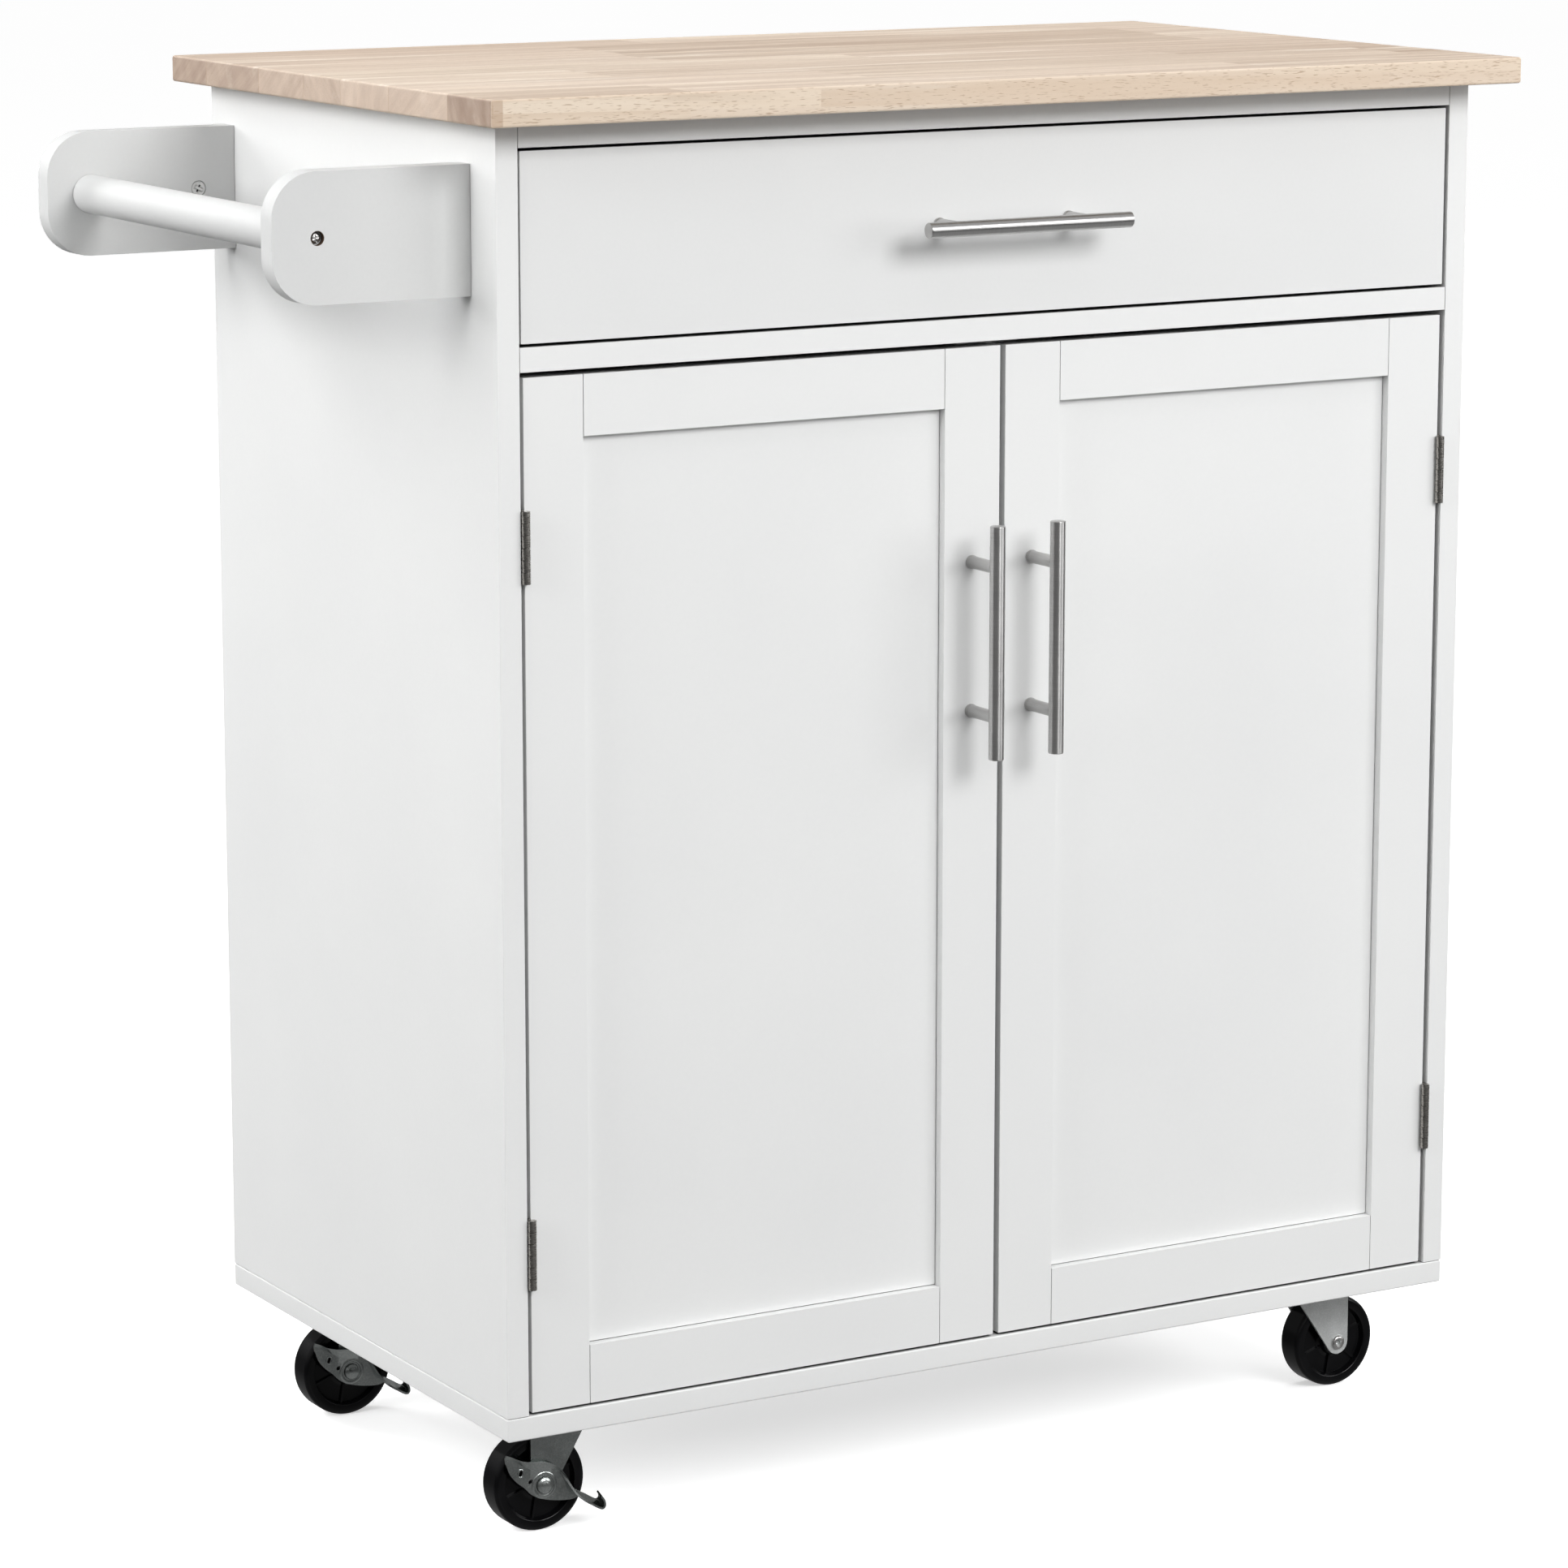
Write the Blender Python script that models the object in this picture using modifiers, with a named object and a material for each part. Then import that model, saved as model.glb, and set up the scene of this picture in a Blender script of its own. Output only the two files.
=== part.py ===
"""Rolling kitchen cart: butcher block top, one drawer, two shaker doors, a towel rail and four casters.

World frame, in metres: the floor is z = 0 and +Z is up. The front faces -Y and +X is to the right.
The origin is the middle of the cart's footprint. Parts of the cabinet are placed in the cabinet's own
frame, whose origin is the lower left front corner of the base panel.
"""

import math

import bmesh
import bpy
from mathutils import Matrix, Vector

MM = 0.001
FIT = 0.3 * MM  # gap between pieces that rest on each other
OBJECT_NAME = "butcher_block_table"

# Cabinet
WIDTH = 720 * MM
DEPTH = 408 * MM
HEIGHT = 820 * MM  # from the underside of the base to the underside of the top
BOARD = 15 * MM
DOOR_OPENING = 655 * MM
RAIL_DEPTH = 80 * MM
BACK_THICKNESS = 5 * MM
BACK_INSET = 3 * MM
SHELF_HEIGHT = 330 * MM  # top of the base to the underside of the shelf
SHELF_SETBACK = 25 * MM

# Butcher block top
TOP_THICKNESS = 17 * MM
TOP_SIDE_OVERHANG = 19 * MM
TOP_FRONT_OVERHANG = 32 * MM
TOP_BACK_OVERHANG = 20 * MM

# Doors and drawer front
FRONT_RECESS = 1.5 * MM
DOOR_THICKNESS = 18 * MM
HINGE_GAP = 3 * MM
MIDDLE_GAP = 4 * MM
DOOR_TOP_GAP = 3.4 * MM
DOOR_BOTTOM_GAP = 1.6 * MM
STILE_WIDTH = 41 * MM
DOOR_RAIL_WIDTH = 38 * MM
DOOR_PANEL_THICKNESS = 9 * MM
DOOR_PANEL_RECESS = 6 * MM
DRAWER_GAP = 2 * MM
DRAWER_FRONT_THICKNESS = 15 * MM

# Drawer box and its slides
DRAWER_BOARD = 12 * MM
DRAWER_BOX_DEPTH = 350 * MM
DRAWER_BOX_HEIGHT = 90 * MM
DRAWER_BOX_LIFT = 6 * MM  # bottom of the drawer front to the bottom of the box
DRAWER_BOTTOM_THICKNESS = 5 * MM
SLIDE_GAP = 13 * MM  # side panel to drawer box
SLIDE_SHEET = 1.2 * MM
SLIDE_LENGTH = 350 * MM
SLIDE_START = 18 * MM
OUTER_SLIDE_HEIGHT = 35 * MM
INNER_SLIDE_HEIGHT = 27 * MM
SLIDE_CHANNEL = 10 * MM

# Bar handles
HANDLE_LENGTH = 150 * MM
HANDLE_HOLE_SPACING = 96 * MM
HANDLE_BAR_RADIUS = 5 * MM
HANDLE_POST_RADIUS = 4 * MM
HANDLE_STANDOFF = 31 * MM  # front face to bar centre
DOOR_HANDLE_DROP = 185 * MM  # top of the door to the handle's middle

# Butt hinges
HINGE_LENGTH = 45 * MM
HINGE_END_DISTANCE = 103 * MM  # end of the door to the hinge's middle
HINGE_AXIS_PROUD = 1.5 * MM
HINGE_AXIS_OFFSET = 2.6 * MM  # side panel to hinge axis
HINGE_KNUCKLES = 6
HINGE_BARREL_RADIUS = 2.7 * MM
HINGE_PIN_RADIUS = 1.2 * MM
HINGE_PIN_CLEARANCE = 0.1 * MM
HINGE_LEAF_THICKNESS = 1.0 * MM
HINGE_LEAF_START = 1.6 * MM
HINGE_LEAF_END = 14 * MM
HINGE_STRIP_OVERLAP = 1 * MM

# Magnetic catch
CATCH_WIDTH = 46 * MM
CATCH_DEPTH = 15 * MM
CATCH_HEIGHT = 13 * MM
STRIKE_WIDTH = 16 * MM
STRIKE_HEIGHT = 9 * MM
STRIKE_THICKNESS = 1.2 * MM

# Towel rail
BRACKET_REACH = 132 * MM
BRACKET_HEIGHT = 80 * MM
BRACKET_THICKNESS = 15 * MM
BRACKET_DROP = 26 * MM  # underside of the top to the bracket's upper edge
BRACKET_CORNER_RADIUS = 29 * MM
BRACKET_FRONT_INSET = 33 * MM
BRACKET_BACK_INSET = 20 * MM
ROD_RADIUS = 12.5 * MM
ROD_FROM_END = 30 * MM
SCREW_POCKET_RADIUS = 4.5 * MM
SCREW_POCKET_DEPTH = 4 * MM
CAM_POCKET_RADIUS = 5.2 * MM
CAM_POCKET_DEPTH = 3 * MM
CAM_FROM_PANEL = 26 * MM

# Casters. Their frame has its origin on the floor under the swivel axis, with the wheel towards -X.
CASTER_HEIGHT = 81 * MM
WHEEL_RADIUS = 32 * MM
WHEEL_WIDTH = 20 * MM
HUB_WIDTH = 22 * MM
HUB_RADIUS = 9.5 * MM
TREAD_ROUNDING = 3 * MM
RIM_INNER_RADIUS = 25 * MM
WEB_THICKNESS = 11 * MM
RECESS_DRAFT = 1 * MM
TRAIL = 24 * MM
SWIVEL_SIDE_INSET = 74 * MM
SWIVEL_END_INSET = 63 * MM
PLATE_LENGTH = 60 * MM
PLATE_WIDTH = 44 * MM
PLATE_THICKNESS = 2.2 * MM
RACE_RADIUS = 18 * MM
RACE_HEIGHT = 5 * MM
CROWN_RADIUS = 22 * MM
CROWN_THICKNESS = 2.4 * MM
KINGPIN_RADIUS = 4.5 * MM
KINGPIN_HEAD_RADIUS = 7.5 * MM
KINGPIN_HEAD_HEIGHT = 2 * MM
AXLE_RADIUS = 4 * MM
RUNNING_CLEARANCE = 0.1 * MM
LEG_THICKNESS = 2 * MM
LEG_INNER = 11.5 * MM  # wheel's middle plane to a leg's inner face
LEG_END_RADIUS = 8.5 * MM
LEG_TOP_FRONT = 12 * MM  # swivel axis to the leg's front edge, at the crown
LEG_CREASE = 15 * MM  # swivel axis back to the crease
LEG_BEND = math.radians(6)  # the leg turns inward ahead of the crease
RIVET_RADIUS = 5.2 * MM
RIVET_HEIGHT = 1.6 * MM
RIVET_HOLE_RADIUS = 2.2 * MM
RIVET_HOLE_DEPTH = 3 * MM
LEVER_THICKNESS = 1.8 * MM
TOE_WIDTH = 9 * MM
TOE_THICKNESS = 3 * MM

# Places worked out from the dimensions above
LEFT_REACH = BRACKET_REACH
RIGHT_REACH = TOP_SIDE_OVERHANG
FRONT_REACH = HANDLE_STANDOFF + HANDLE_BAR_RADIUS - FRONT_RECESS
BACK_REACH = TOP_BACK_OVERHANG
CABINET_ORIGIN = Vector((
    (LEFT_REACH - WIDTH - RIGHT_REACH) / 2,
    (FRONT_REACH - DEPTH - BACK_REACH) / 2,
    CASTER_HEIGHT,
))
INSIDE_LEFT = BOARD
INSIDE_RIGHT = WIDTH - BOARD
MID_RAIL_BOTTOM = BOARD + DOOR_OPENING
MID_RAIL_TOP = MID_RAIL_BOTTOM + BOARD
DRAWER_OPENING_TOP = HEIGHT - BOARD
DOOR_BOTTOM = BOARD + DOOR_BOTTOM_GAP
DOOR_TOP = MID_RAIL_BOTTOM - DOOR_TOP_GAP
DOOR_WIDTH = (WIDTH - 2 * BOARD - 2 * HINGE_GAP - MIDDLE_GAP) / 2
DOOR_BACK = FRONT_RECESS + DOOR_THICKNESS
BACK_PANEL_FRONT = DEPTH - BACK_INSET - BACK_THICKNESS

SMOOTH_ANGLE = math.radians(35)
ROUND_SEGMENTS = 24  # around a part that shows
SMALL_SEGMENTS = 12  # around a pin, a post or a hole
WHEEL_SEGMENTS = 36
RIVET_SEGMENTS = 16  # around the axle rivet and the holes that fit it
CORNER_STEPS = 10  # along a rounded corner
EDGE_STEPS = 3  # along a small rounding or between two points of a smooth outline
AXIS_TURNS = {
    "X": Matrix.Rotation(math.pi / 2, 4, "Y"),
    "Y": Matrix.Rotation(-math.pi / 2, 4, "X"),
    "Z": Matrix.Identity(4),
}


def clear_scene():
    for obj in list(bpy.data.objects):
        bpy.data.objects.remove(obj, do_unlink=True)


def new_collection(name):
    collection = bpy.data.collections.new(name)
    bpy.context.scene.collection.children.link(collection)
    return collection


def principled(name, colour, roughness, metallic=0.0):
    material = bpy.data.materials.new(name)
    material.use_nodes = True
    shader = material.node_tree.nodes["Principled BSDF"]
    shader.inputs["Base Color"].default_value = (*colour, 1.0)
    shader.inputs["Roughness"].default_value = roughness
    shader.inputs["Metallic"].default_value = metallic
    return material


clear_scene()
PARTS = new_collection(OBJECT_NAME)
CUTTERS = new_collection("cutters")

WOOD = principled("rubberwood", (0.72, 0.55, 0.38), 0.45)
PAINT = principled("white_paint", (0.82, 0.82, 0.81), 0.38)
HARDBOARD = principled("white_hardboard", (0.78, 0.78, 0.76), 0.5)
STEEL = principled("brushed_steel", (0.58, 0.57, 0.55), 0.28, 1.0)
ZINC = principled("zinc_plate", (0.55, 0.56, 0.55), 0.35, 1.0)
HINGE_STEEL = principled("hinge_steel", (0.45, 0.43, 0.38), 0.3, 1.0)
BLACK = principled("black_plastic", (0.012, 0.012, 0.013), 0.22)
WHITE_PLASTIC = principled("white_plastic", (0.8, 0.8, 0.78), 0.4)


def empty(name, location, parent=None, turn=0.0):
    """An empty whose location, and turn about Z, are in its parent's frame."""
    pivot = bpy.data.objects.new(name, None)
    pivot.empty_display_size = 30 * MM
    pivot.location = location
    pivot.rotation_euler = (0, 0, turn)
    pivot.parent = parent
    PARTS.objects.link(pivot)
    return pivot


def add(name, mesh, parent, material, location=(0, 0, 0)):
    """Puts a mesh in the scene as a sub-part, placed in its parent's frame."""
    obj = bpy.data.objects.new(name, mesh)
    obj.location = location
    obj.parent = parent
    mesh.materials.clear()
    mesh.materials.append(material)
    mesh.shade_smooth()
    mesh.set_sharp_from_angle(angle=SMOOTH_ANGLE)
    PARTS.objects.link(obj)
    return obj


def helper(name, mesh, parent, location=(0, 0, 0)):
    """A mesh that only cuts or joins, and isn't itself a part."""
    obj = bpy.data.objects.new(name, mesh)
    obj.location = location
    obj.parent = parent
    obj.hide_render = True
    obj.display_type = "WIRE"
    CUTTERS.objects.link(obj)
    return obj


def combine(target, tool, operation):
    modifier = target.modifiers.new(f"{operation.lower()}_{tool.name}", "BOOLEAN")
    modifier.operation = operation
    modifier.solver = "EXACT"
    modifier.object = tool


def mesh_from(name, shape):
    mesh = bpy.data.meshes.new(name)
    shape.to_mesh(mesh)
    shape.free()
    return mesh


def box_mesh(name, size):
    """A box centred on its origin."""
    shape = bmesh.new()
    bmesh.ops.create_cube(shape, size=1.0)
    bmesh.ops.scale(shape, vec=size, verts=shape.verts)
    return mesh_from(name, shape)


def cylinder_mesh(name, radius, length, axis="Z", segments=SMALL_SEGMENTS):
    """A cylinder centred on its origin."""
    shape = bmesh.new()
    bmesh.ops.create_cone(
        shape, cap_ends=True, segments=segments, radius1=radius, radius2=radius, depth=length,
        matrix=AXIS_TURNS[axis],
    )
    return mesh_from(name, shape)


def turned_mesh(name, profile, axis="Z", steps=ROUND_SEGMENTS):
    """A closed profile of (radius, height) points turned about an axis.

    The points go once round the profile. One that starts and ends at radius 0 meets the axis.
    """
    shape = bmesh.new()
    ring = [shape.verts.new((radius, 0, height)) for radius, height in profile]
    for first, second in zip(ring, ring[1:] + ring[:1]):
        shape.edges.new((first, second))
    outline = bpy.data.objects.new(name, mesh_from(name, shape))
    CUTTERS.objects.link(outline)
    screw = outline.modifiers.new("screw", "SCREW")
    screw.steps = steps
    screw.render_steps = steps
    screw.use_merge_vertices = True
    screw.merge_threshold = 0.01 * MM
    mesh = evaluated_mesh(name, outline)
    shape = bmesh.new()
    shape.from_mesh(mesh)
    bmesh.ops.recalc_face_normals(shape, faces=shape.faces)
    bmesh.ops.transform(shape, matrix=AXIS_TURNS[axis], verts=shape.verts)
    shape.to_mesh(mesh)
    shape.free()
    return mesh


def evaluated_mesh(name, obj):
    """The object's evaluated mesh with its doubles welded. The object is removed."""
    bpy.context.view_layer.update()
    graph = bpy.context.evaluated_depsgraph_get()
    mesh = bpy.data.meshes.new_from_object(obj.evaluated_get(graph))
    mesh.name = name
    shape = bmesh.new()
    shape.from_mesh(mesh)
    bmesh.ops.remove_doubles(shape, verts=shape.verts, dist=0.005 * MM)
    bmesh.ops.recalc_face_normals(shape, faces=shape.faces)
    shape.to_mesh(mesh)
    shape.free()
    bpy.data.objects.remove(obj, do_unlink=True)
    return mesh


def outline_mesh(name, points, thickness):
    """A closed outline of (x, z) points, filled and given a thickness along Y."""
    curve = bpy.data.curves.new(name, "CURVE")
    curve.dimensions = "2D"
    curve.fill_mode = "BOTH"
    curve.extrude = thickness / 2
    spline = curve.splines.new("POLY")
    spline.points.add(len(points) - 1)
    for point, (across, up) in zip(spline.points, points):
        point.co = (across, up, 0, 1)
    spline.use_cyclic_u = True
    outline = bpy.data.objects.new(name, curve)
    CUTTERS.objects.link(outline)
    mesh = evaluated_mesh(name, outline)
    mesh.transform(Matrix.Rotation(math.pi / 2, 4, "X"))
    return mesh


def arc(centre, radius, start, end, steps):
    """Points from one angle to another, in degrees, both ends included."""
    angles = [math.radians(start + (end - start) * i / steps) for i in range(steps + 1)]
    return [(centre[0] + radius * math.cos(a), centre[1] + radius * math.sin(a)) for a in angles]


def smooth_outline(points, steps):
    """A closed Catmull-Rom curve through the points."""
    curve = []
    for i, p1 in enumerate(points):
        p0 = points[i - 1]
        p2 = points[(i + 1) % len(points)]
        p3 = points[(i + 2) % len(points)]
        for step in range(steps):
            t = step / steps
            weights = (
                (2 * t**2 - t - t**3) / 2, (2 - 5 * t**2 + 3 * t**3) / 2,
                (t + 4 * t**2 - 3 * t**3) / 2, (t**3 - t**2) / 2,
            )
            coordinates = zip(p0, p1, p2, p3)
            curve.append(tuple(sum(w * c for w, c in zip(weights, values)) for values in coordinates))
    return curve


def board(name, x, y, z, parent, material=PAINT):
    """A rectangular board between pairs of faces, in its parent's frame. Its origin is its middle."""
    spans = [sorted(pair) for pair in (x, y, z)]
    middle = [(low + high) / 2 for low, high in spans]
    size = [high - low for low, high in spans]
    return add(name, box_mesh(name, size), parent, material, middle)


def build_cabinet(cabinet):
    board("base_panel", (0, WIDTH), (0, DEPTH), (0, BOARD), cabinet)
    upright = (BOARD + FIT, HEIGHT - FIT)
    board("side_panel_left", (0, BOARD), (0, DEPTH), upright, cabinet)
    board("side_panel_right", (INSIDE_RIGHT, WIDTH), (0, DEPTH), upright, cabinet)
    inside = (INSIDE_LEFT + FIT, INSIDE_RIGHT - FIT)
    board("mid_rail", inside, (0, RAIL_DEPTH), (MID_RAIL_BOTTOM, MID_RAIL_TOP), cabinet)
    top_rail = (DRAWER_OPENING_TOP, HEIGHT - FIT)
    board("top_front_rail", inside, (0, RAIL_DEPTH), top_rail, cabinet)
    rear_end = BACK_PANEL_FRONT - FIT
    board("top_rear_rail", inside, (rear_end - RAIL_DEPTH, rear_end), top_rail, cabinet)
    board("back_panel", inside, (BACK_PANEL_FRONT, DEPTH - BACK_INSET), upright, cabinet, HARDBOARD)
    shelf_bottom = BOARD + SHELF_HEIGHT
    shelf = (shelf_bottom, shelf_bottom + BOARD)
    board("adjustable_shelf", inside, (SHELF_SETBACK, rear_end), shelf, cabinet)
    board(
        "butcher_block_top",
        (-TOP_SIDE_OVERHANG, WIDTH + TOP_SIDE_OVERHANG),
        (-TOP_FRONT_OVERHANG, DEPTH + TOP_BACK_OVERHANG),
        (HEIGHT, HEIGHT + TOP_THICKNESS),
        cabinet, WOOD,
    )
    catch_front = DOOR_BACK + 2 * FIT + STRIKE_THICKNESS
    board(
        "magnetic_catch",
        ((WIDTH - CATCH_WIDTH) / 2, (WIDTH + CATCH_WIDTH) / 2),
        (catch_front, catch_front + CATCH_DEPTH),
        (MID_RAIL_BOTTOM - FIT - CATCH_HEIGHT, MID_RAIL_BOTTOM - FIT),
        cabinet, WHITE_PLASTIC,
    )


def build_towel_rail(cabinet):
    top = HEIGHT - BRACKET_DROP
    middle = top - BRACKET_HEIGHT / 2
    half = BRACKET_HEIGHT / 2
    corner = BRACKET_CORNER_RADIUS
    end = -BRACKET_REACH
    outline = [(-FIT, -half), (-FIT, half)]
    outline += arc((end + corner, half - corner), corner, 90, 180, CORNER_STEPS)
    outline += arc((end + corner, corner - half), corner, 180, 270, CORNER_STEPS)
    rod_x = end + ROD_FROM_END
    front_face = BRACKET_FRONT_INSET
    rear_face = DEPTH - BRACKET_BACK_INSET
    # Each bracket has a screw pocket in its outer face and a cam lock pocket in its inner face.
    for name, outer, inward in (("front", front_face, 1), ("rear", rear_face, -1)):
        location = (0, outer + inward * BRACKET_THICKNESS / 2, middle)
        mesh = outline_mesh(f"towel_bracket_{name}", outline, BRACKET_THICKNESS)
        bracket = add(f"towel_bracket_{name}", mesh, cabinet, PAINT, location)
        inner = outer + inward * BRACKET_THICKNESS
        for kind, x, face, radius, depth in (
            ("screw", rod_x, outer, SCREW_POCKET_RADIUS, SCREW_POCKET_DEPTH),
            ("cam", -CAM_FROM_PANEL, inner, CAM_POCKET_RADIUS, CAM_POCKET_DEPTH),
        ):
            cutter_name = f"{name}_{kind}_pocket"
            cutter = cylinder_mesh(cutter_name, radius, 2 * depth, "Y", ROUND_SEGMENTS)
            combine(bracket, helper(cutter_name, cutter, cabinet, (x, face, middle)), "DIFFERENCE")
    start = front_face + BRACKET_THICKNESS + FIT
    length = rear_face - BRACKET_THICKNESS - FIT - start
    rod = cylinder_mesh("towel_rod", ROD_RADIUS, length, "Y", WHEEL_SEGMENTS)
    add("towel_rod", rod, cabinet, PAINT, (rod_x, start + length / 2, middle))


def build_handle(name, parent, location, upright):
    """A bar on two posts. Its origin is on the face that it is screwed to, in the handle's middle."""
    post_length = HANDLE_STANDOFF - FIT
    bar_axis = "Z" if upright else "X"
    bar = cylinder_mesh(name, HANDLE_BAR_RADIUS, HANDLE_LENGTH, bar_axis, ROUND_SEGMENTS)
    bar.transform(Matrix.Translation((0, -HANDLE_STANDOFF, 0)))
    handle = add(name, bar, parent, STEEL, location)
    for side in (-1, 1):
        along = side * HANDLE_HOLE_SPACING / 2
        offset = Vector((0, 0, along)) if upright else Vector((along, 0, 0))
        post_name = f"{name}_post_{'lower' if side < 0 else 'upper'}"
        post_mesh = cylinder_mesh(post_name, HANDLE_POST_RADIUS, post_length, "Y", ROUND_SEGMENTS)
        place = Vector(location) + offset + Vector((0, -FIT - post_length / 2, 0))
        post = helper(post_name, post_mesh, parent, place)
        combine(handle, post, "UNION")


def channel_outline(side, back, height):
    """A C section open towards +X for side 1 and towards -X for side -1. Its back is at x = back."""
    half = height / 2
    inner = SLIDE_SHEET - half
    lower = [(0, -half), (SLIDE_CHANNEL, -half), (SLIDE_CHANNEL, inner), (SLIDE_SHEET, inner)]
    points = lower + [(x, -z) for x, z in reversed(lower)]
    return [(back + side * x, z) for x, z in points]


def build_slides(cabinet, drawer, drawer_origin, height):
    """Two telescopic slides: the outer channel is on the cabinet and the inner one on the drawer."""
    middle_y = SLIDE_START + SLIDE_LENGTH / 2
    for name, panel, side in (("left", INSIDE_LEFT, 1), ("right", INSIDE_RIGHT, -1)):
        outer_back = panel + side * FIT
        inner_back = panel + side * (SLIDE_GAP - FIT)
        outer_section = channel_outline(side, outer_back, OUTER_SLIDE_HEIGHT)
        outer = outline_mesh(f"slide_outer_{name}", outer_section, SLIDE_LENGTH)
        add(f"slide_outer_{name}", outer, cabinet, ZINC, (0, middle_y, height))
        inner_section = channel_outline(-side, inner_back, INNER_SLIDE_HEIGHT)
        inner = outline_mesh(f"slide_inner_{name}", inner_section, SLIDE_LENGTH)
        add(f"slide_inner_{name}", inner, drawer, ZINC, Vector((0, middle_y, height)) - drawer_origin)


def build_drawer(cabinet):
    bottom = MID_RAIL_TOP + DRAWER_GAP
    top = DRAWER_OPENING_TOP - DRAWER_GAP
    origin = Vector((WIDTH / 2, FRONT_RECESS, (bottom + top) / 2))
    drawer = empty("drawer_slide_pivot", origin, cabinet)
    half_front = WIDTH / 2 - BOARD - DRAWER_GAP
    half_height = (top - bottom) / 2
    front_faces = (0, DRAWER_FRONT_THICKNESS)
    board("drawer_front", (-half_front, half_front), front_faces, (-half_height, half_height), drawer)
    box_start = DRAWER_FRONT_THICKNESS + FIT
    box_end = box_start + DRAWER_BOX_DEPTH
    box_half = WIDTH / 2 - BOARD - SLIDE_GAP
    box_bottom = DRAWER_BOX_LIFT - half_height
    upright = (box_bottom, box_bottom + DRAWER_BOX_HEIGHT)
    inner_half = box_half - DRAWER_BOARD - FIT
    for name, side in (("left", -1), ("right", 1)):
        faces = (side * box_half, side * (box_half - DRAWER_BOARD))
        board(f"drawer_side_{name}", faces, (box_start, box_end), upright, drawer)
    board("drawer_back", (-inner_half, inner_half), (box_end - DRAWER_BOARD, box_end), upright, drawer)
    floor_bottom = box_bottom + DRAWER_BOTTOM_THICKNESS
    board(
        "drawer_bottom", (-inner_half, inner_half), (box_start, box_end - DRAWER_BOARD - FIT),
        (floor_bottom, floor_bottom + DRAWER_BOTTOM_THICKNESS), drawer, HARDBOARD,
    )
    build_handle("drawer_handle", drawer, (0, 0, 0), upright=False)
    slide_height = origin.z + box_bottom + DRAWER_BOX_HEIGHT / 2
    build_slides(cabinet, drawer, origin, slide_height)


def build_hinge_leaf(name, parent, location, plate_x, knuckles, side, holds_pin):
    """One leaf of a butt hinge around its pin axis, which is the leaf's own Z axis.

    plate_x holds the leaf's two faces, as distances from the axis for a hinge on the left side.
    knuckles says which of the barrel's segments belong to this leaf, counted from the bottom.
    """
    pitch = HINGE_LENGTH / HINGE_KNUCKLES
    axis_y = -HINGE_AXIS_PROUD
    x_faces = sorted(side * x for x in plate_x)
    middle_x = sum(x_faces) / 2
    plate_y = (HINGE_LEAF_START - axis_y, HINGE_LEAF_END - axis_y)
    plate = box_mesh(name, (x_faces[1] - x_faces[0], plate_y[1] - plate_y[0], HINGE_LENGTH))
    plate.transform(Matrix.Translation((middle_x, sum(plate_y) / 2, 0)))
    leaf = add(name, plate, parent, HINGE_STEEL, location)
    strip_end = plate_y[0] + HINGE_STRIP_OVERLAP
    for index in knuckles:
        height = (index + 0.5) * pitch - HINGE_LENGTH / 2
        place = Vector(location) + Vector((0, 0, height))
        strip_name = f"{name}_strip_{index}"
        strip = box_mesh(strip_name, (x_faces[1] - x_faces[0], strip_end, pitch - FIT))
        strip.transform(Matrix.Translation((middle_x, strip_end / 2, 0)))
        combine(leaf, helper(strip_name, strip, parent, place), "UNION")
        knuckle_name = f"{name}_knuckle_{index}"
        knuckle = cylinder_mesh(knuckle_name, HINGE_BARREL_RADIUS, pitch - FIT)
        combine(leaf, helper(knuckle_name, knuckle, parent, place), "UNION")
    if holds_pin:
        pin = cylinder_mesh(f"{name}_pin", HINGE_PIN_RADIUS, HINGE_LENGTH - FIT)
        combine(leaf, helper(f"{name}_pin", pin, parent, location), "UNION")
    else:
        bore = cylinder_mesh(f"{name}_bore", HINGE_PIN_RADIUS + HINGE_PIN_CLEARANCE, 2 * HINGE_LENGTH)
        combine(leaf, helper(f"{name}_bore", bore, parent, location), "DIFFERENCE")


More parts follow.
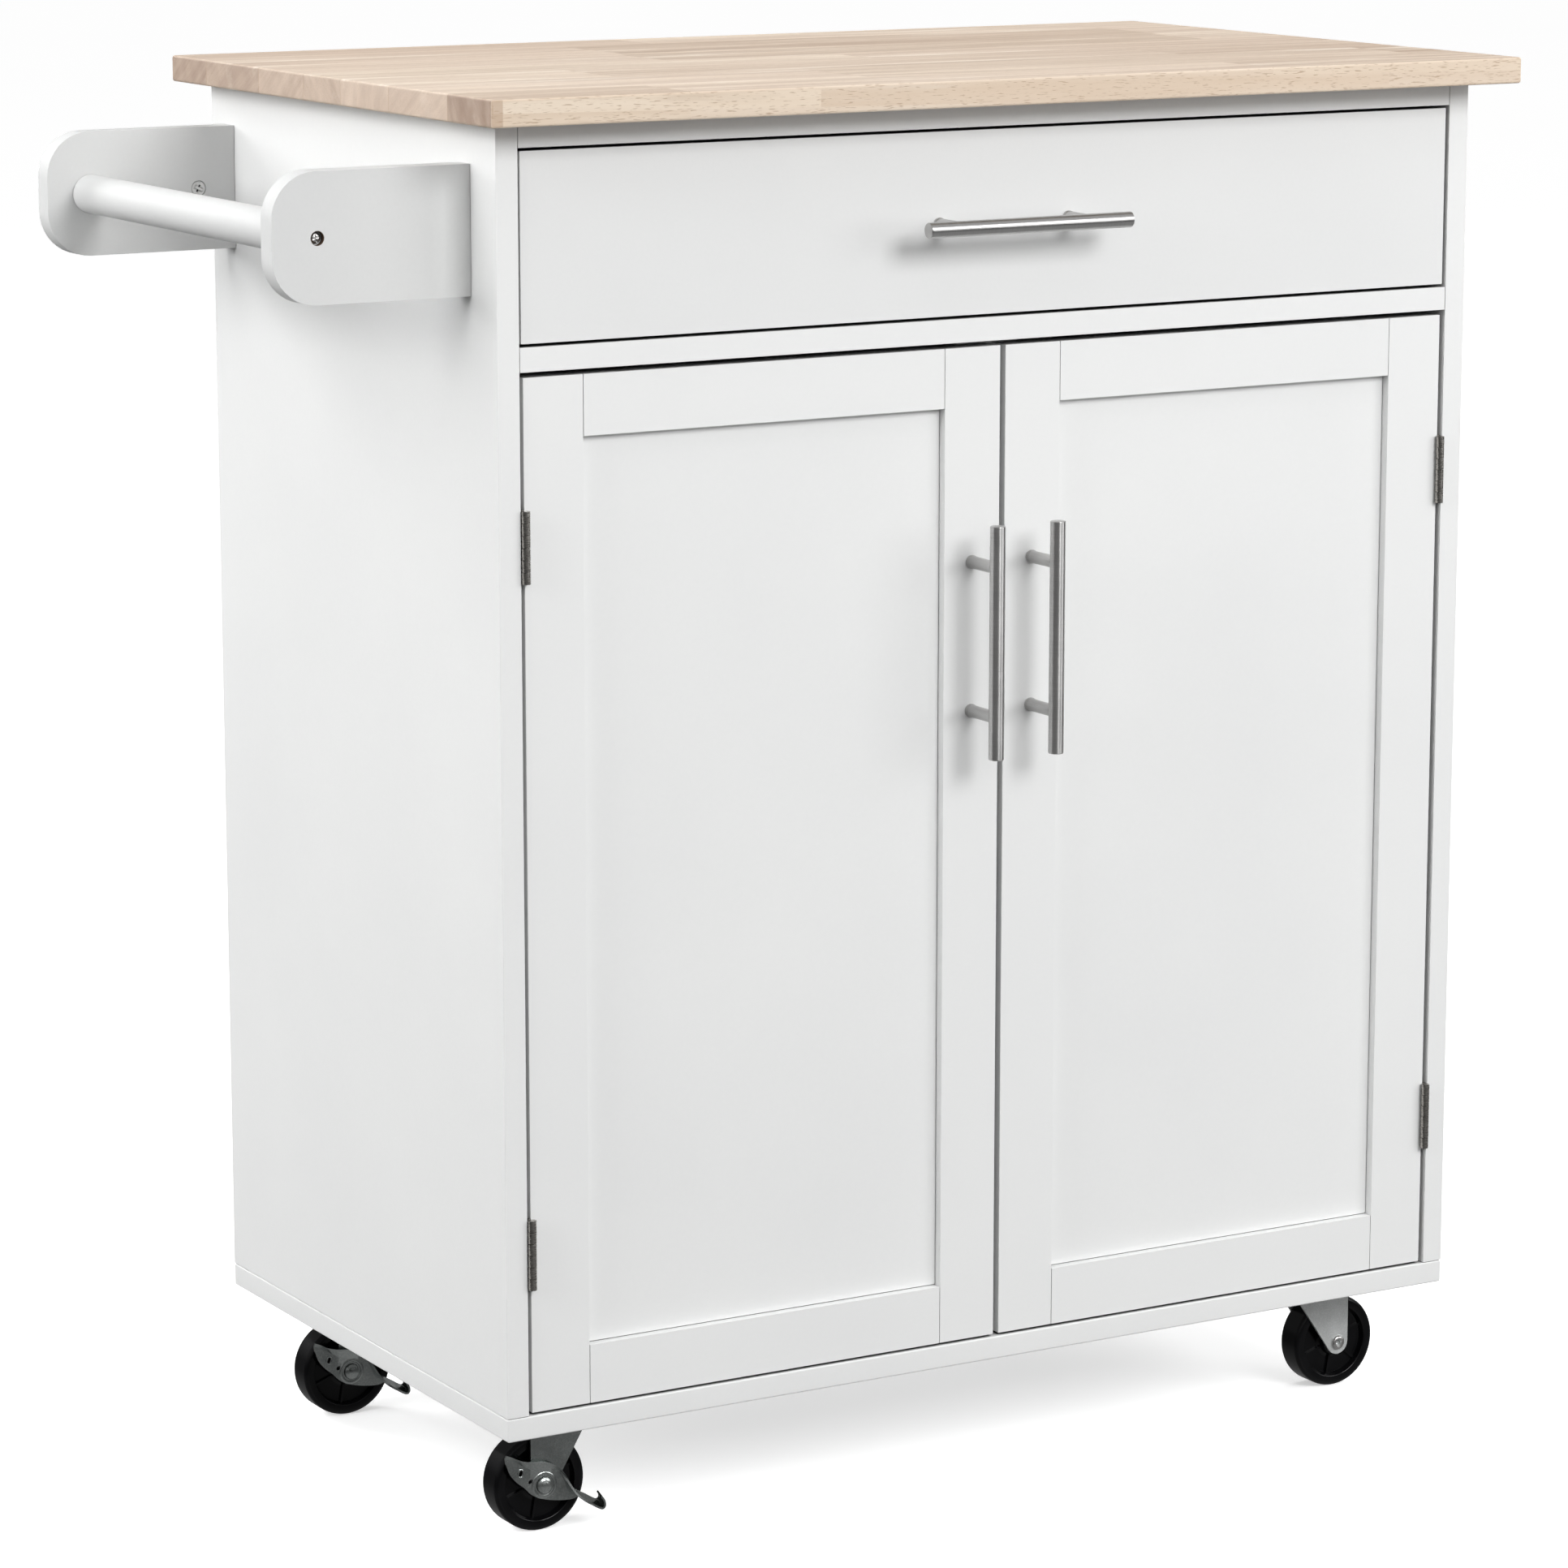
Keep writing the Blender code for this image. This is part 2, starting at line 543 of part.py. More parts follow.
def build_door(cabinet, name, side):
    """A shaker door. side is 1 for the left door, with its hinges on the left, and -1 for the right one."""
    panel_face = INSIDE_LEFT if side > 0 else INSIDE_RIGHT
    axis = Vector((panel_face + side * HINGE_AXIS_OFFSET, -HINGE_AXIS_PROUD, 0))
    pivot = empty(f"{name}_door_pivot", axis, cabinet)
    # In the pivot's frame, x is measured from the hinge axis towards the other door.
    hinge_edge = HINGE_GAP - HINGE_AXIS_OFFSET
    free_edge = hinge_edge + DOOR_WIDTH
    front = FRONT_RECESS + HINGE_AXIS_PROUD
    depth = (front, front + DOOR_THICKNESS)
    height = (DOOR_BOTTOM, DOOR_TOP)

    def piece(label, x, y, z):
        board(f"{name}_door_{label}", [side * value for value in x], y, z, pivot)

    piece("hinge_stile", (hinge_edge, hinge_edge + STILE_WIDTH), depth, height)
    piece("free_stile", (free_edge - STILE_WIDTH, free_edge), depth, height)
    between = (hinge_edge + STILE_WIDTH + FIT, free_edge - STILE_WIDTH - FIT)
    piece("top_rail", between, depth, (DOOR_TOP - DOOR_RAIL_WIDTH, DOOR_TOP))
    piece("bottom_rail", between, depth, (DOOR_BOTTOM, DOOR_BOTTOM + DOOR_RAIL_WIDTH))
    panel_front = front + DOOR_PANEL_RECESS
    piece(
        "panel", between, (panel_front, panel_front + DOOR_PANEL_THICKNESS),
        (DOOR_BOTTOM + DOOR_RAIL_WIDTH + FIT, DOOR_TOP - DOOR_RAIL_WIDTH - FIT),
    )
    handle_x = side * (free_edge - STILE_WIDTH / 2)
    build_handle(f"{name}_door_handle", pivot, (handle_x, front, DOOR_TOP - DOOR_HANDLE_DROP), upright=True)
    strike_middle = side * (free_edge + MIDDLE_GAP / 2 - CATCH_WIDTH / 4)
    strike_front = front + DOOR_THICKNESS + FIT
    strike_top = DOOR_TOP - FIT
    board(
        f"{name}_door_strike",
        (strike_middle - STRIKE_WIDTH / 2, strike_middle + STRIKE_WIDTH / 2),
        (strike_front, strike_front + STRIKE_THICKNESS),
        (strike_top - STRIKE_HEIGHT, strike_top),
        pivot, ZINC,
    )
    cabinet_leaf = (FIT - HINGE_AXIS_OFFSET, FIT + HINGE_LEAF_THICKNESS - HINGE_AXIS_OFFSET)
    door_leaf = (hinge_edge - FIT - HINGE_LEAF_THICKNESS, hinge_edge - FIT)
    hinge_heights = {"lower": DOOR_BOTTOM + HINGE_END_DISTANCE, "upper": DOOR_TOP - HINGE_END_DISTANCE}
    for level, middle in hinge_heights.items():
        place = Vector((0, 0, middle))
        build_hinge_leaf(
            f"{name}_{level}_hinge_cabinet_leaf", cabinet, axis + place, cabinet_leaf, (0, 2, 4), side, True
        )
        build_hinge_leaf(f"{name}_{level}_hinge_door_leaf", pivot, place, door_leaf, (1, 3, 5), side, False)


def wheel_profile():
    rim = WHEEL_WIDTH / 2
    hub = HUB_WIDTH / 2
    web = WEB_THICKNESS / 2
    bore = AXLE_RADIUS + RUNNING_CLEARANCE
    tread_middle = (WHEEL_RADIUS - TREAD_ROUNDING, rim - TREAD_ROUNDING)
    tread_corner = arc(tread_middle, TREAD_ROUNDING, 90, 0, EDGE_STEPS)
    upper = [
        (bore, hub), (HUB_RADIUS, hub), (HUB_RADIUS + RECESS_DRAFT, web),
        (RIM_INNER_RADIUS - RECESS_DRAFT, web), (RIM_INNER_RADIUS, rim),
    ]
    upper += tread_corner
    lower = [(radius, -height) for radius, height in reversed(upper)]
    return upper + lower


def kingpin_profile(top, crown_bottom):
    """The race, kingpin and kingpin head under a caster's plate, as a profile that meets the axis."""
    race_top = top - PLATE_THICKNESS / 2
    race_bottom = top - PLATE_THICKNESS - RACE_HEIGHT
    head_top = crown_bottom - FIT
    head_bottom = head_top - KINGPIN_HEAD_HEIGHT
    return [
        (RACE_RADIUS, race_top), (RACE_RADIUS, race_bottom), (KINGPIN_RADIUS, race_bottom),
        (KINGPIN_RADIUS, head_top), (KINGPIN_HEAD_RADIUS, head_top),
        (KINGPIN_HEAD_RADIUS * 0.8, head_bottom), (0, head_bottom), (0, race_top),
    ]


def leg_mesh(name, crown_top, side):
    """One fork leg: a flat outline with a round end at the axle, bent inward ahead of its crease."""
    middle = (-TRAIL, WHEEL_RADIUS)
    top = crown_top - CROWN_THICKNESS / 2
    slope = math.degrees(math.atan2(top - middle[1], LEG_TOP_FRONT + TRAIL)) - 90
    lean = math.degrees(math.asin(LEG_END_RADIUS / math.hypot(top - middle[1], LEG_TOP_FRONT + TRAIL)))
    outline = arc(middle, LEG_END_RADIUS, 180, 360 + slope + lean, CORNER_STEPS)
    outline += [(LEG_TOP_FRONT, top), (-TRAIL - LEG_END_RADIUS, top)]
    mesh = outline_mesh(name, outline, LEG_THICKNESS)
    shape = bmesh.new()
    shape.from_mesh(mesh)
    crease = Vector((-LEG_CREASE, 0, 0))
    everything = shape.verts[:] + shape.edges[:] + shape.faces[:]
    bmesh.ops.bisect_plane(shape, geom=everything, plane_co=crease, plane_no=(1, 0, 0))
    for vert in shape.verts:
        vert.co.y -= side * math.tan(LEG_BEND) * max(0.0, vert.co.x - crease.x)
    shape.to_mesh(mesh)
    shape.free()
    mesh.transform(Matrix.Translation((0, side * (LEG_INNER + LEG_THICKNESS / 2), 0)))
    return mesh


def build_fork(name, swivel, crown_top, braked):
    crown_middle = crown_top - CROWN_THICKNESS / 2
    disc = cylinder_mesh(name, CROWN_RADIUS, CROWN_THICKNESS, "Z", ROUND_SEGMENTS)
    crown = add(name, disc, swivel, ZINC, (0, 0, crown_middle))
    leg_outer = LEG_INNER + LEG_THICKNESS
    neck_length = TRAIL + LEG_END_RADIUS
    neck = helper(
        f"{name}_neck", box_mesh(f"{name}_neck", (neck_length, 2 * leg_outer, CROWN_THICKNESS)), swivel,
        (-neck_length / 2, 0, crown_middle),
    )
    combine(crown, neck, "UNION")
    for label, side in (("near", -1), ("far", 1)):
        leg = helper(f"{name}_{label}_leg", leg_mesh(f"{name}_{label}_leg", crown_top, side), swivel)
        combine(crown, leg, "UNION")
    bore_radius = KINGPIN_RADIUS + RUNNING_CLEARANCE
    bore = cylinder_mesh(f"{name}_bore", bore_radius, 4 * CROWN_THICKNESS, "Z", ROUND_SEGMENTS)
    combine(crown, helper(f"{name}_bore", bore, swivel, (0, 0, crown_middle)), "DIFFERENCE")
    # The axle is a rivet through both legs. A brake lever needs room under its near head.
    lever_room = LEVER_THICKNESS + 2 * FIT if braked else 0
    near = -(leg_outer + lever_room)
    far_seat = leg_outer - LEG_THICKNESS / 10
    near_seat = near if braked else -far_seat
    head = ((RIVET_RADIUS, RIVET_HEIGHT * 0.4), (RIVET_RADIUS * 0.6, RIVET_HEIGHT))
    profile = [(0, leg_outer + RIVET_HEIGHT)]
    profile += [(radius, leg_outer + height) for radius, height in reversed(head)]
    profile += [(RIVET_RADIUS, far_seat), (AXLE_RADIUS, far_seat)]
    profile += [(AXLE_RADIUS, near_seat), (RIVET_RADIUS, near_seat)]
    profile += [(radius, near - height) for radius, height in head]
    profile += [(0, near - RIVET_HEIGHT)]
    axle = turned_mesh(f"{name}_axle", profile, "Y", RIVET_SEGMENTS)
    combine(crown, helper(f"{name}_axle", axle, swivel, (-TRAIL, 0, WHEEL_RADIUS)), "UNION")
    if not braked:
        for side in (-1, 1):
            hollow_name = f"{name}_hollow_{'near' if side < 0 else 'far'}"
            hollow = cylinder_mesh(hollow_name, RIVET_HOLE_RADIUS, 2 * RIVET_HOLE_DEPTH, "Y")
            place = (-TRAIL, side * (leg_outer + RIVET_HEIGHT), WHEEL_RADIUS)
            combine(crown, helper(hollow_name, hollow, swivel, place), "DIFFERENCE")


def build_brake_lever(name, swivel):
    """A stamped lever on the axle's near end, with a toe pad that is bent outward."""
    pivot = empty(f"{name}_pivot", (-TRAIL, 0, WHEEL_RADIUS), swivel)
    leaf = [
        (-27, 26), (-25, 13), (-15, 0), (-4, -7.5), (9, -11.5), (22, -13),
        (25, -8), (16, 3), (8, 9.5), (-2, 10), (-12, 15.5),
    ]
    leaf = smooth_outline([(x * MM, z * MM) for x, z in leaf], EDGE_STEPS)
    middle_y = -(LEG_INNER + LEG_THICKNESS + FIT + LEVER_THICKNESS / 2)
    lever = add(name, outline_mesh(name, leaf, LEVER_THICKNESS), pivot, ZINC, (0, middle_y, 0))
    toe_start = Vector((20 * MM, 0, -10 * MM))
    toe_end = Vector((37 * MM, 0, -19 * MM))
    run = toe_end - toe_start
    toe_mesh = box_mesh(f"{name}_toe", (run.length, TOE_WIDTH, TOE_THICKNESS))
    toe_mesh.transform(Matrix.Rotation(math.atan2(-run.z, run.x), 4, "Y"))
    toe_y = middle_y + LEVER_THICKNESS / 2 - TOE_WIDTH / 2
    toe = helper(f"{name}_toe", toe_mesh, pivot, (toe_start + toe_end) / 2 + Vector((0, toe_y, 0)))
    combine(lever, toe, "UNION")
    for label, radius, x, z in (
        ("bore", AXLE_RADIUS + RUNNING_CLEARANCE, 0, 0),
        ("stop_hole", 2.0 * MM, -8.5 * MM, 4.5 * MM),
        ("spring_hole", 2.4 * MM, -18.5 * MM, 13 * MM),
    ):
        hole = cylinder_mesh(f"{name}_{label}", radius, 4 * LEVER_THICKNESS, "Y", RIVET_SEGMENTS)
        combine(lever, helper(f"{name}_{label}", hole, pivot, (x, middle_y, z)), "DIFFERENCE")


def build_caster(cabinet, name, x, y, turn, braked):
    """One swivel caster. Its plate is fixed to the base and its fork turns on the kingpin."""
    top = CASTER_HEIGHT - FIT
    crown_top = top - PLATE_THICKNESS - RACE_HEIGHT - FIT
    crown_bottom = crown_top - CROWN_THICKNESS
    swivel = empty(f"{name}_caster_swivel", (x, y, -CASTER_HEIGHT), cabinet, turn)
    plate_name = f"{name}_caster_plate"
    plate = box_mesh(plate_name, (PLATE_LENGTH, PLATE_WIDTH, PLATE_THICKNESS))
    plate = add(plate_name, plate, cabinet, ZINC, (x, y, -FIT - PLATE_THICKNESS / 2))
    kingpin = turned_mesh(f"{name}_kingpin", kingpin_profile(top, crown_bottom))
    combine(plate, helper(f"{name}_kingpin", kingpin, swivel), "UNION")
    build_fork(f"{name}_caster_fork", swivel, crown_top, braked)
    wheel_pivot = empty(f"{name}_wheel_pivot", (-TRAIL, 0, WHEEL_RADIUS), swivel)
    wheel = turned_mesh(f"{name}_wheel", wheel_profile(), "Y", WHEEL_SEGMENTS)
    add(f"{name}_wheel", wheel, wheel_pivot, BLACK)
    if braked:
        build_brake_lever(f"{name}_brake_lever", swivel)


def build_casters(cabinet):
    """The two left casters have brakes. The right ones trail the other way."""
    left = SWIVEL_SIDE_INSET
    right = WIDTH - SWIVEL_SIDE_INSET
    front = SWIVEL_END_INSET
    rear = DEPTH - SWIVEL_END_INSET
    build_caster(cabinet, "front_left", left, front, 0.0, True)
    build_caster(cabinet, "rear_left", left, rear, 0.0, True)
    build_caster(cabinet, "front_right", right, front, math.pi, False)
    build_caster(cabinet, "rear_right", right, rear, math.pi, False)


def build():
    cabinet = empty("cabinet", CABINET_ORIGIN)
    build_cabinet(cabinet)
    build_towel_rail(cabinet)
    build_drawer(cabinet)
    build_door(cabinet, "left", 1)
    build_door(cabinet, "right", -1)
    build_casters(cabinet)
    bpy.context.view_layer.update()


build()
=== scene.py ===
"""Looks of the rolling kitchen cart: finishes, small hardware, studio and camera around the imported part.

Everything is in metres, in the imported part's frame: the floor is z = 0, the front faces -Y and +X is to
the right.
"""

import math

import bmesh
import bpy
from mathutils import Matrix, Vector


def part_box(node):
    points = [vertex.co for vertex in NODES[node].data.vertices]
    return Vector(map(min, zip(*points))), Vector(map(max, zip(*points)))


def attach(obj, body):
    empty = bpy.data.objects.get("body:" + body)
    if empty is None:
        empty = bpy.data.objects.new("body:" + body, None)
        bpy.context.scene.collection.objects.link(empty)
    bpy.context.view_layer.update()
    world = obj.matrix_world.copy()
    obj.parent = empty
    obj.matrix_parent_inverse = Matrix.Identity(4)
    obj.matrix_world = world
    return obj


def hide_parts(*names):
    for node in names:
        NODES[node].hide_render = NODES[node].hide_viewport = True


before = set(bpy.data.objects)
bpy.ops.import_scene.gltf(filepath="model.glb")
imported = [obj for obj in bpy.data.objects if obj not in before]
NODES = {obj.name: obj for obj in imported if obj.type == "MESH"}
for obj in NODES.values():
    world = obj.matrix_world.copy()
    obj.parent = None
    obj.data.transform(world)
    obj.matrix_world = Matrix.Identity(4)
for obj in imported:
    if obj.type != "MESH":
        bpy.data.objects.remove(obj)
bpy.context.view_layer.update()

MM = 0.001
SMOOTH_ANGLE = math.radians(38)
ROUND = 48  # segments round a part that shows
RIM = 36  # segments round a pressed or rolled rim
SMALL = 20  # segments round a screw or a pin
CORNERS = ("front_left", "rear_left", "front_right", "rear_right")
SCREW_SPACING = 96 * MM  # of a bar handle

# Axes that a small piece's own +Z is turned to
LEFT = Vector((-1, 0, 0))
RIGHT = Vector((1, 0, 0))
FRONT = Vector((0, -1, 0))
BACK = Vector((0, 1, 0))
UP = Vector((0, 0, 1))
DOWN = Vector((0, 0, -1))


# ---------------------------------------------------------------- materials


class Graph:
    """One procedural material: a Principled shader and the nodes that feed it."""

    def __init__(self, name, **constants):
        self.material = bpy.data.materials.new(name)
        self.material.use_nodes = True
        self.nodes = self.material.node_tree.nodes
        self.links = self.material.node_tree.links
        self.shader = self.nodes["Principled BSDF"]
        for socket, value in constants.items():
            self.shader.inputs[socket.replace("_", " ")].default_value = value
        coordinates = self.nodes.new("ShaderNodeTexCoord")
        self.place = coordinates.outputs["Object"]
        self.facing = coordinates.outputs["Normal"]

    def put(self, socket, value):
        if isinstance(value, bpy.types.NodeSocket):
            self.links.new(value, socket)
        else:
            socket.default_value = value

    def node(self, kind, inputs, **settings):
        node = self.nodes.new(kind)
        for key, value in settings.items():
            setattr(node, key, value)
        for key, value in inputs.items():
            self.put(node.inputs[key], value)
        return node

    def math(self, operation, first, second=0.0):
        return self.node("ShaderNodeMath", {0: first, 1: second}, operation=operation).outputs[0]

    def add(self, first, second):
        return self.math("ADD", first, second)

    def times(self, first, second):
        return self.math("MULTIPLY", first, second)

    def parts(self, vector):
        node = self.node("ShaderNodeSeparateXYZ", {0: vector})
        return [node.outputs[i] for i in range(3)]

    def vector(self, x, y, z):
        return self.node("ShaderNodeCombineXYZ", {0: x, 1: y, 2: z}).outputs[0]

    def stretched(self, vector, scale):
        return self.node("ShaderNodeVectorMath", {0: vector, 1: scale}, operation="MULTIPLY").outputs[0]

    def moved(self, vector, offset):
        return self.node("ShaderNodeVectorMath", {0: vector, 1: offset}, operation="ADD").outputs[0]

    def noise(self, vector, scale, detail=2.0, roughness=0.5):
        inputs = {"Vector": vector, "Scale": scale, "Detail": detail, "Roughness": roughness}
        return self.node("ShaderNodeTexNoise", inputs).outputs["Fac"]

    def cells(self, vector, scale):
        inputs = {"Vector": vector, "Scale": scale}
        return self.node("ShaderNodeTexVoronoi", inputs).outputs["Distance"]

    def scatter(self, vector):
        """Three random numbers that depend on the vector."""
        noise = self.node("ShaderNodeTexWhiteNoise", {"Vector": vector}, noise_dimensions="3D")
        node = self.node("ShaderNodeSeparateColor", {0: noise.outputs["Color"]})
        return [node.outputs[i] for i in range(3)]

    def span(self, value, low, high, new_low=0.0, new_high=1.0):
        inputs = {0: value, 1: low, 2: high, 3: new_low, 4: new_high}
        return self.node("ShaderNodeMapRange", inputs).outputs[0]

    def tint(self, factor, first, second):
        inputs = {0: factor, 6: first, 7: second}
        return self.node("ShaderNodeMix", inputs, data_type="RGBA").outputs[2]

    def colour(self, value):
        self.put(self.shader.inputs["Base Color"], value)

    def roughness(self, value):
        self.put(self.shader.inputs["Roughness"], value)

    def bump(self, height, distance, strength=1.0):
        inputs = {"Height": height, "Distance": distance, "Strength": strength}
        normal = self.node("ShaderNodeBump", inputs).outputs[0]
        self.put(self.shader.inputs["Normal"], normal)


def rgb(red, green, blue):
    return (red, green, blue, 1.0)


def paint(name, light, dark, roughness, peel_scale, peel_depth):
    """Sprayed satin paint on board: faint clouding, orange peel, small changes of gloss and painted shade in
    narrow gaps.
    """
    g = Graph(name, Specular_IOR_Level=0.34)
    cloud = g.noise(g.place, 5.0, 4.0)
    speck = g.noise(g.place, 420.0, 3.0)
    mottle = g.add(g.times(cloud, 0.75), g.times(speck, 0.25))
    coat = g.tint(g.span(mottle, 0.35, 0.65), dark, light)
    # Painted shade: the colour goes nearly black where ambient occlusion finds surfaces within 8 mm, fully
    # on level faces and a quarter as much on upright ones, so narrow gaps read dark
    openness = g.node("ShaderNodeAmbientOcclusion", {"Distance": 8 * MM}, samples=8).outputs["AO"]
    level = g.span(g.math("ABSOLUTE", g.parts(g.facing)[2]), 0.9, 0.99, 0.25, 1.0)
    gap_shade = g.times(g.span(openness, 0.08, 0.4, 1.0, 0.0), level)
    g.colour(g.tint(gap_shade, coat, rgb(0.02, 0.02, 0.02)))
    sheen = g.noise(g.place, 38.0, 3.0)
    g.roughness(g.span(sheen, 0.3, 0.7, roughness - 0.05, roughness + 0.06))
    peel = g.noise(g.place, peel_scale, 2.0)
    g.bump(peel, peel_depth)
    return g.material


STAVE = 66 * MM
BLOCKS_PER_METRE = 2.35


def stave_layout(g, x, y):
    """The numbers of a stave and a block, and how far across the one and along the other a point lies.

    x and y are measured from the slab's left end and its front edge.
    """
    uneven = g.times(g.math("SINE", g.times(y, 27.0)), 9 * MM)
    lane = g.times(g.add(y, uneven), 1 / STAVE)
    row = g.math("FLOOR", lane)
    start = g.scatter(g.vector(row, 0.37, 5.1))[0]
    run = g.add(g.times(x, BLOCKS_PER_METRE), g.times(start, 3.1))
    return row, g.math("FLOOR", run), g.math("FRACT", lane), g.math("FRACT", run)


def growth_rings(g, place, across, seed, height):
    """Rings round an axis along X, somewhere under or beside each block."""
    spacing = 15 * MM
    wander = g.noise(g.stretched(place, (1.6, 14.0, 14.0)), 1.0, 3.0)
    y = g.times(g.add(g.add(across, -0.5), g.times(g.add(seed[0], -0.5), 2.6)), STAVE)
    z = g.add(height, g.add(g.times(seed[1], 55 * MM), -8 * MM))
    squared = g.add(g.times(y, y), g.times(z, z))
    radius = g.add(g.math("SQRT", squared), g.times(wander, 34 * MM))
    return g.add(g.times(g.math("SINE", g.times(radius, 2 * math.pi / spacing)), 0.5), 0.5)


def end_grain(g, y, z, seed, own_shade, rings):
    """The ends are sawn across the grain: pinker and duller, each block with a tone of its own."""
    slant = g.add(y, g.times(z, g.span(seed[1], 0.0, 1.0, -1.7, 1.7)))
    sheared = g.vector(g.times(own_shade, 7.0), g.times(slant, 64.0), g.times(z, 24.0))
    swirl = g.span(g.noise(sheared, 1.0, 4.0, 0.62), 0.36, 0.64)
    growth = g.add(g.times(swirl, 0.82), g.times(rings, 0.18))
    grown = g.tint(growth, rgb(0.57, 0.455, 0.37), rgb(0.29, 0.205, 0.16))
    own_tone = g.tint(own_shade, rgb(0.64, 0.525, 0.43), rgb(0.25, 0.175, 0.135))
    return g.tint(0.55, grown, own_tone)


def glue_lines(g, across, along):
    """Thin lines between staves and between blocks."""
    lane_edge = g.math("MINIMUM", across, g.math("SUBTRACT", 1.0, across))
    block_edge = g.math("MINIMUM", along, g.math("SUBTRACT", 1.0, along))
    lane_line = g.span(lane_edge, 0.002, 0.008, 1.0, 0.0)
    block_line = g.span(block_edge, 0.0006, 0.0016, 1.0, 0.0)
    return g.math("MAXIMUM", lane_line, block_line)


def rubberwood():
    """Laminated staves along X, each of finger-jointed blocks that have growth rings of their own."""
    g = Graph("rubberwood_oiled", Specular_IOR_Level=0.32, Coat_Weight=0.04, Coat_Roughness=0.5)
    slab_low, slab_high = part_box("butcher_block_top")
    x, y, z = g.parts(g.place)
    nx, ny = g.parts(g.facing)[:2]
    from_end = g.add(x, -slab_low.x)
    row, block, across, along = stave_layout(g, from_end, g.add(y, -slab_low.y))
    seed = g.scatter(g.vector(row, block, 2.9))
    offset = g.vector(g.times(seed[0], 9.0), g.times(seed[1], 7.0), g.times(seed[2], 5.0))
    own_place = g.moved(g.place, offset)
    # These steps give neighbours clearly different tones
    own_shade = g.math("FRACT", g.add(g.times(row, 0.618), g.times(block, 0.414)))
    rings = growth_rings(g, own_place, across, seed, g.add(z, -slab_high.z))

    def grain(along_x, across_x, detail, roughness=0.5, shift=(0, 0, 0)):
        """Noise that runs along X, with its numbers of features in a metre along and across."""
        place = g.moved(g.stretched(own_place, (along_x, across_x, across_x)), shift)
        return g.noise(place, 1.0, detail, roughness)

    broad = g.span(grain(2.4, 55.0, 4.0, 0.6), 0.36, 0.64)
    streak = g.span(grain(5.5, 160.0, 3.0), 0.36, 0.66)
    fibre = grain(16.0, 900.0, 3.0, 0.6)
    fleck = g.span(grain(150.0, 1300.0, 1.0), 0.6, 0.7)
    pale = g.span(grain(3.6, 46.0, 5.0, 0.62), 0.57, 0.68)
    smoky = g.span(grain(3.0, 38.0, 5.0, 0.62, (7, 3, 5)), 0.56, 0.68)

    tone = g.add(g.times(own_shade, 0.4), g.times(broad, 0.36))
    tone = g.add(tone, g.times(streak, 0.22))
    tone = g.add(tone, g.times(rings, 0.06))
    grade = g.span(g.add(tone, g.times(fibre, 0.12)), 0.15, 1.02)
    edge = g.span(g.math("ABSOLUTE", ny), 0.6, 0.95)
    # Painted light: the long edges get a paler colour than the top and underside, for the light that falls
    # on them from the front
    face = g.tint(grade, rgb(0.80, 0.695, 0.575), rgb(0.42, 0.31, 0.23))
    lit_long_edge = g.tint(grade, rgb(0.98, 0.885, 0.75), rgb(0.79, 0.655, 0.51))
    wood = g.tint(edge, face, lit_long_edge)
    wood = g.tint(g.times(seed[1], 0.3), wood, rgb(0.62, 0.485, 0.40))
    wood = g.tint(g.times(smoky, 0.42), wood, rgb(0.42, 0.31, 0.235))
    sawn = g.span(g.math("ABSOLUTE", nx), 0.6, 0.95)
    wood = g.tint(g.times(sawn, 0.95), wood, end_grain(g, y, z, seed, own_shade, rings))
    wood = g.tint(g.times(pale, g.span(sawn, 0.0, 1.0, 0.6, 0.12)), wood, rgb(0.86, 0.785, 0.69))
    wood = g.tint(g.times(fleck, g.span(edge, 0.0, 1.0, 0.35, 0.6)), wood, rgb(0.36, 0.235, 0.15))
    # A short key of darker wood closes the long edges at their left ends
    key_width, blur = 8 * MM, 0.3 * MM
    key = g.span(from_end, key_width - blur, key_width + blur, 1.0, 0.0)
    wood = g.tint(g.times(g.times(key, edge), 0.6), wood, rgb(0.48, 0.345, 0.25))

    glue = glue_lines(g, across, along)
    g.colour(g.tint(g.times(glue, 0.35), wood, rgb(0.40, 0.27, 0.17)))
    gloss = g.span(g.noise(g.place, 9.0, 3.0), 0.3, 0.7, 0.56, 0.66)
    g.roughness(g.add(gloss, g.times(sawn, 0.14)))
    relief = g.add(g.times(fibre, 0.6), g.times(fleck, -0.9))
    g.bump(g.add(relief, g.times(glue, -0.7)), 0.06 * MM)
    return g.material


def metal(name, light, dark, stretch, roughness):
    """Plated metal with fine lines. stretch scales the texture along X, Y and Z, high across the lines."""
    g = Graph(name, Metallic=1.0)
    lines = g.noise(g.stretched(g.place, stretch), 1.0, 2.0)
    cloud = g.noise(g.place, 120.0, 4.0)
    tone = g.add(g.times(lines, 0.8), g.times(cloud, 0.2))
    g.colour(g.tint(g.span(tone, 0.32, 0.68), dark, light))
    g.roughness(g.span(tone, 0.3, 0.7, roughness - 0.02, roughness + 0.03))
    g.bump(lines, 0.003 * MM)
    return g.material


def ground_steel(name, axis):
    """Ground bar stock: rings of fine scratches round the axis, which draw reflections out along it."""
    g = Graph(name, Metallic=1.0, Anisotropic=0.9)
    stretch = [1800.0 if part else 60.0 for part in axis]
    lines = g.noise(g.stretched(g.place, stretch), 1.0, 2.0)
    cloud = g.noise(g.place, 40.0, 3.0)
    tone = g.add(g.times(lines, 0.6), g.times(cloud, 0.4))
    g.colour(g.tint(g.span(tone, 0.32, 0.68), rgb(0.49, 0.485, 0.48), rgb(0.56, 0.555, 0.55)))
    g.roughness(g.span(cloud, 0.3, 0.7, 0.31, 0.35))
    g.put(g.shader.inputs["Tangent"], g.vector(*axis))
    return g.material


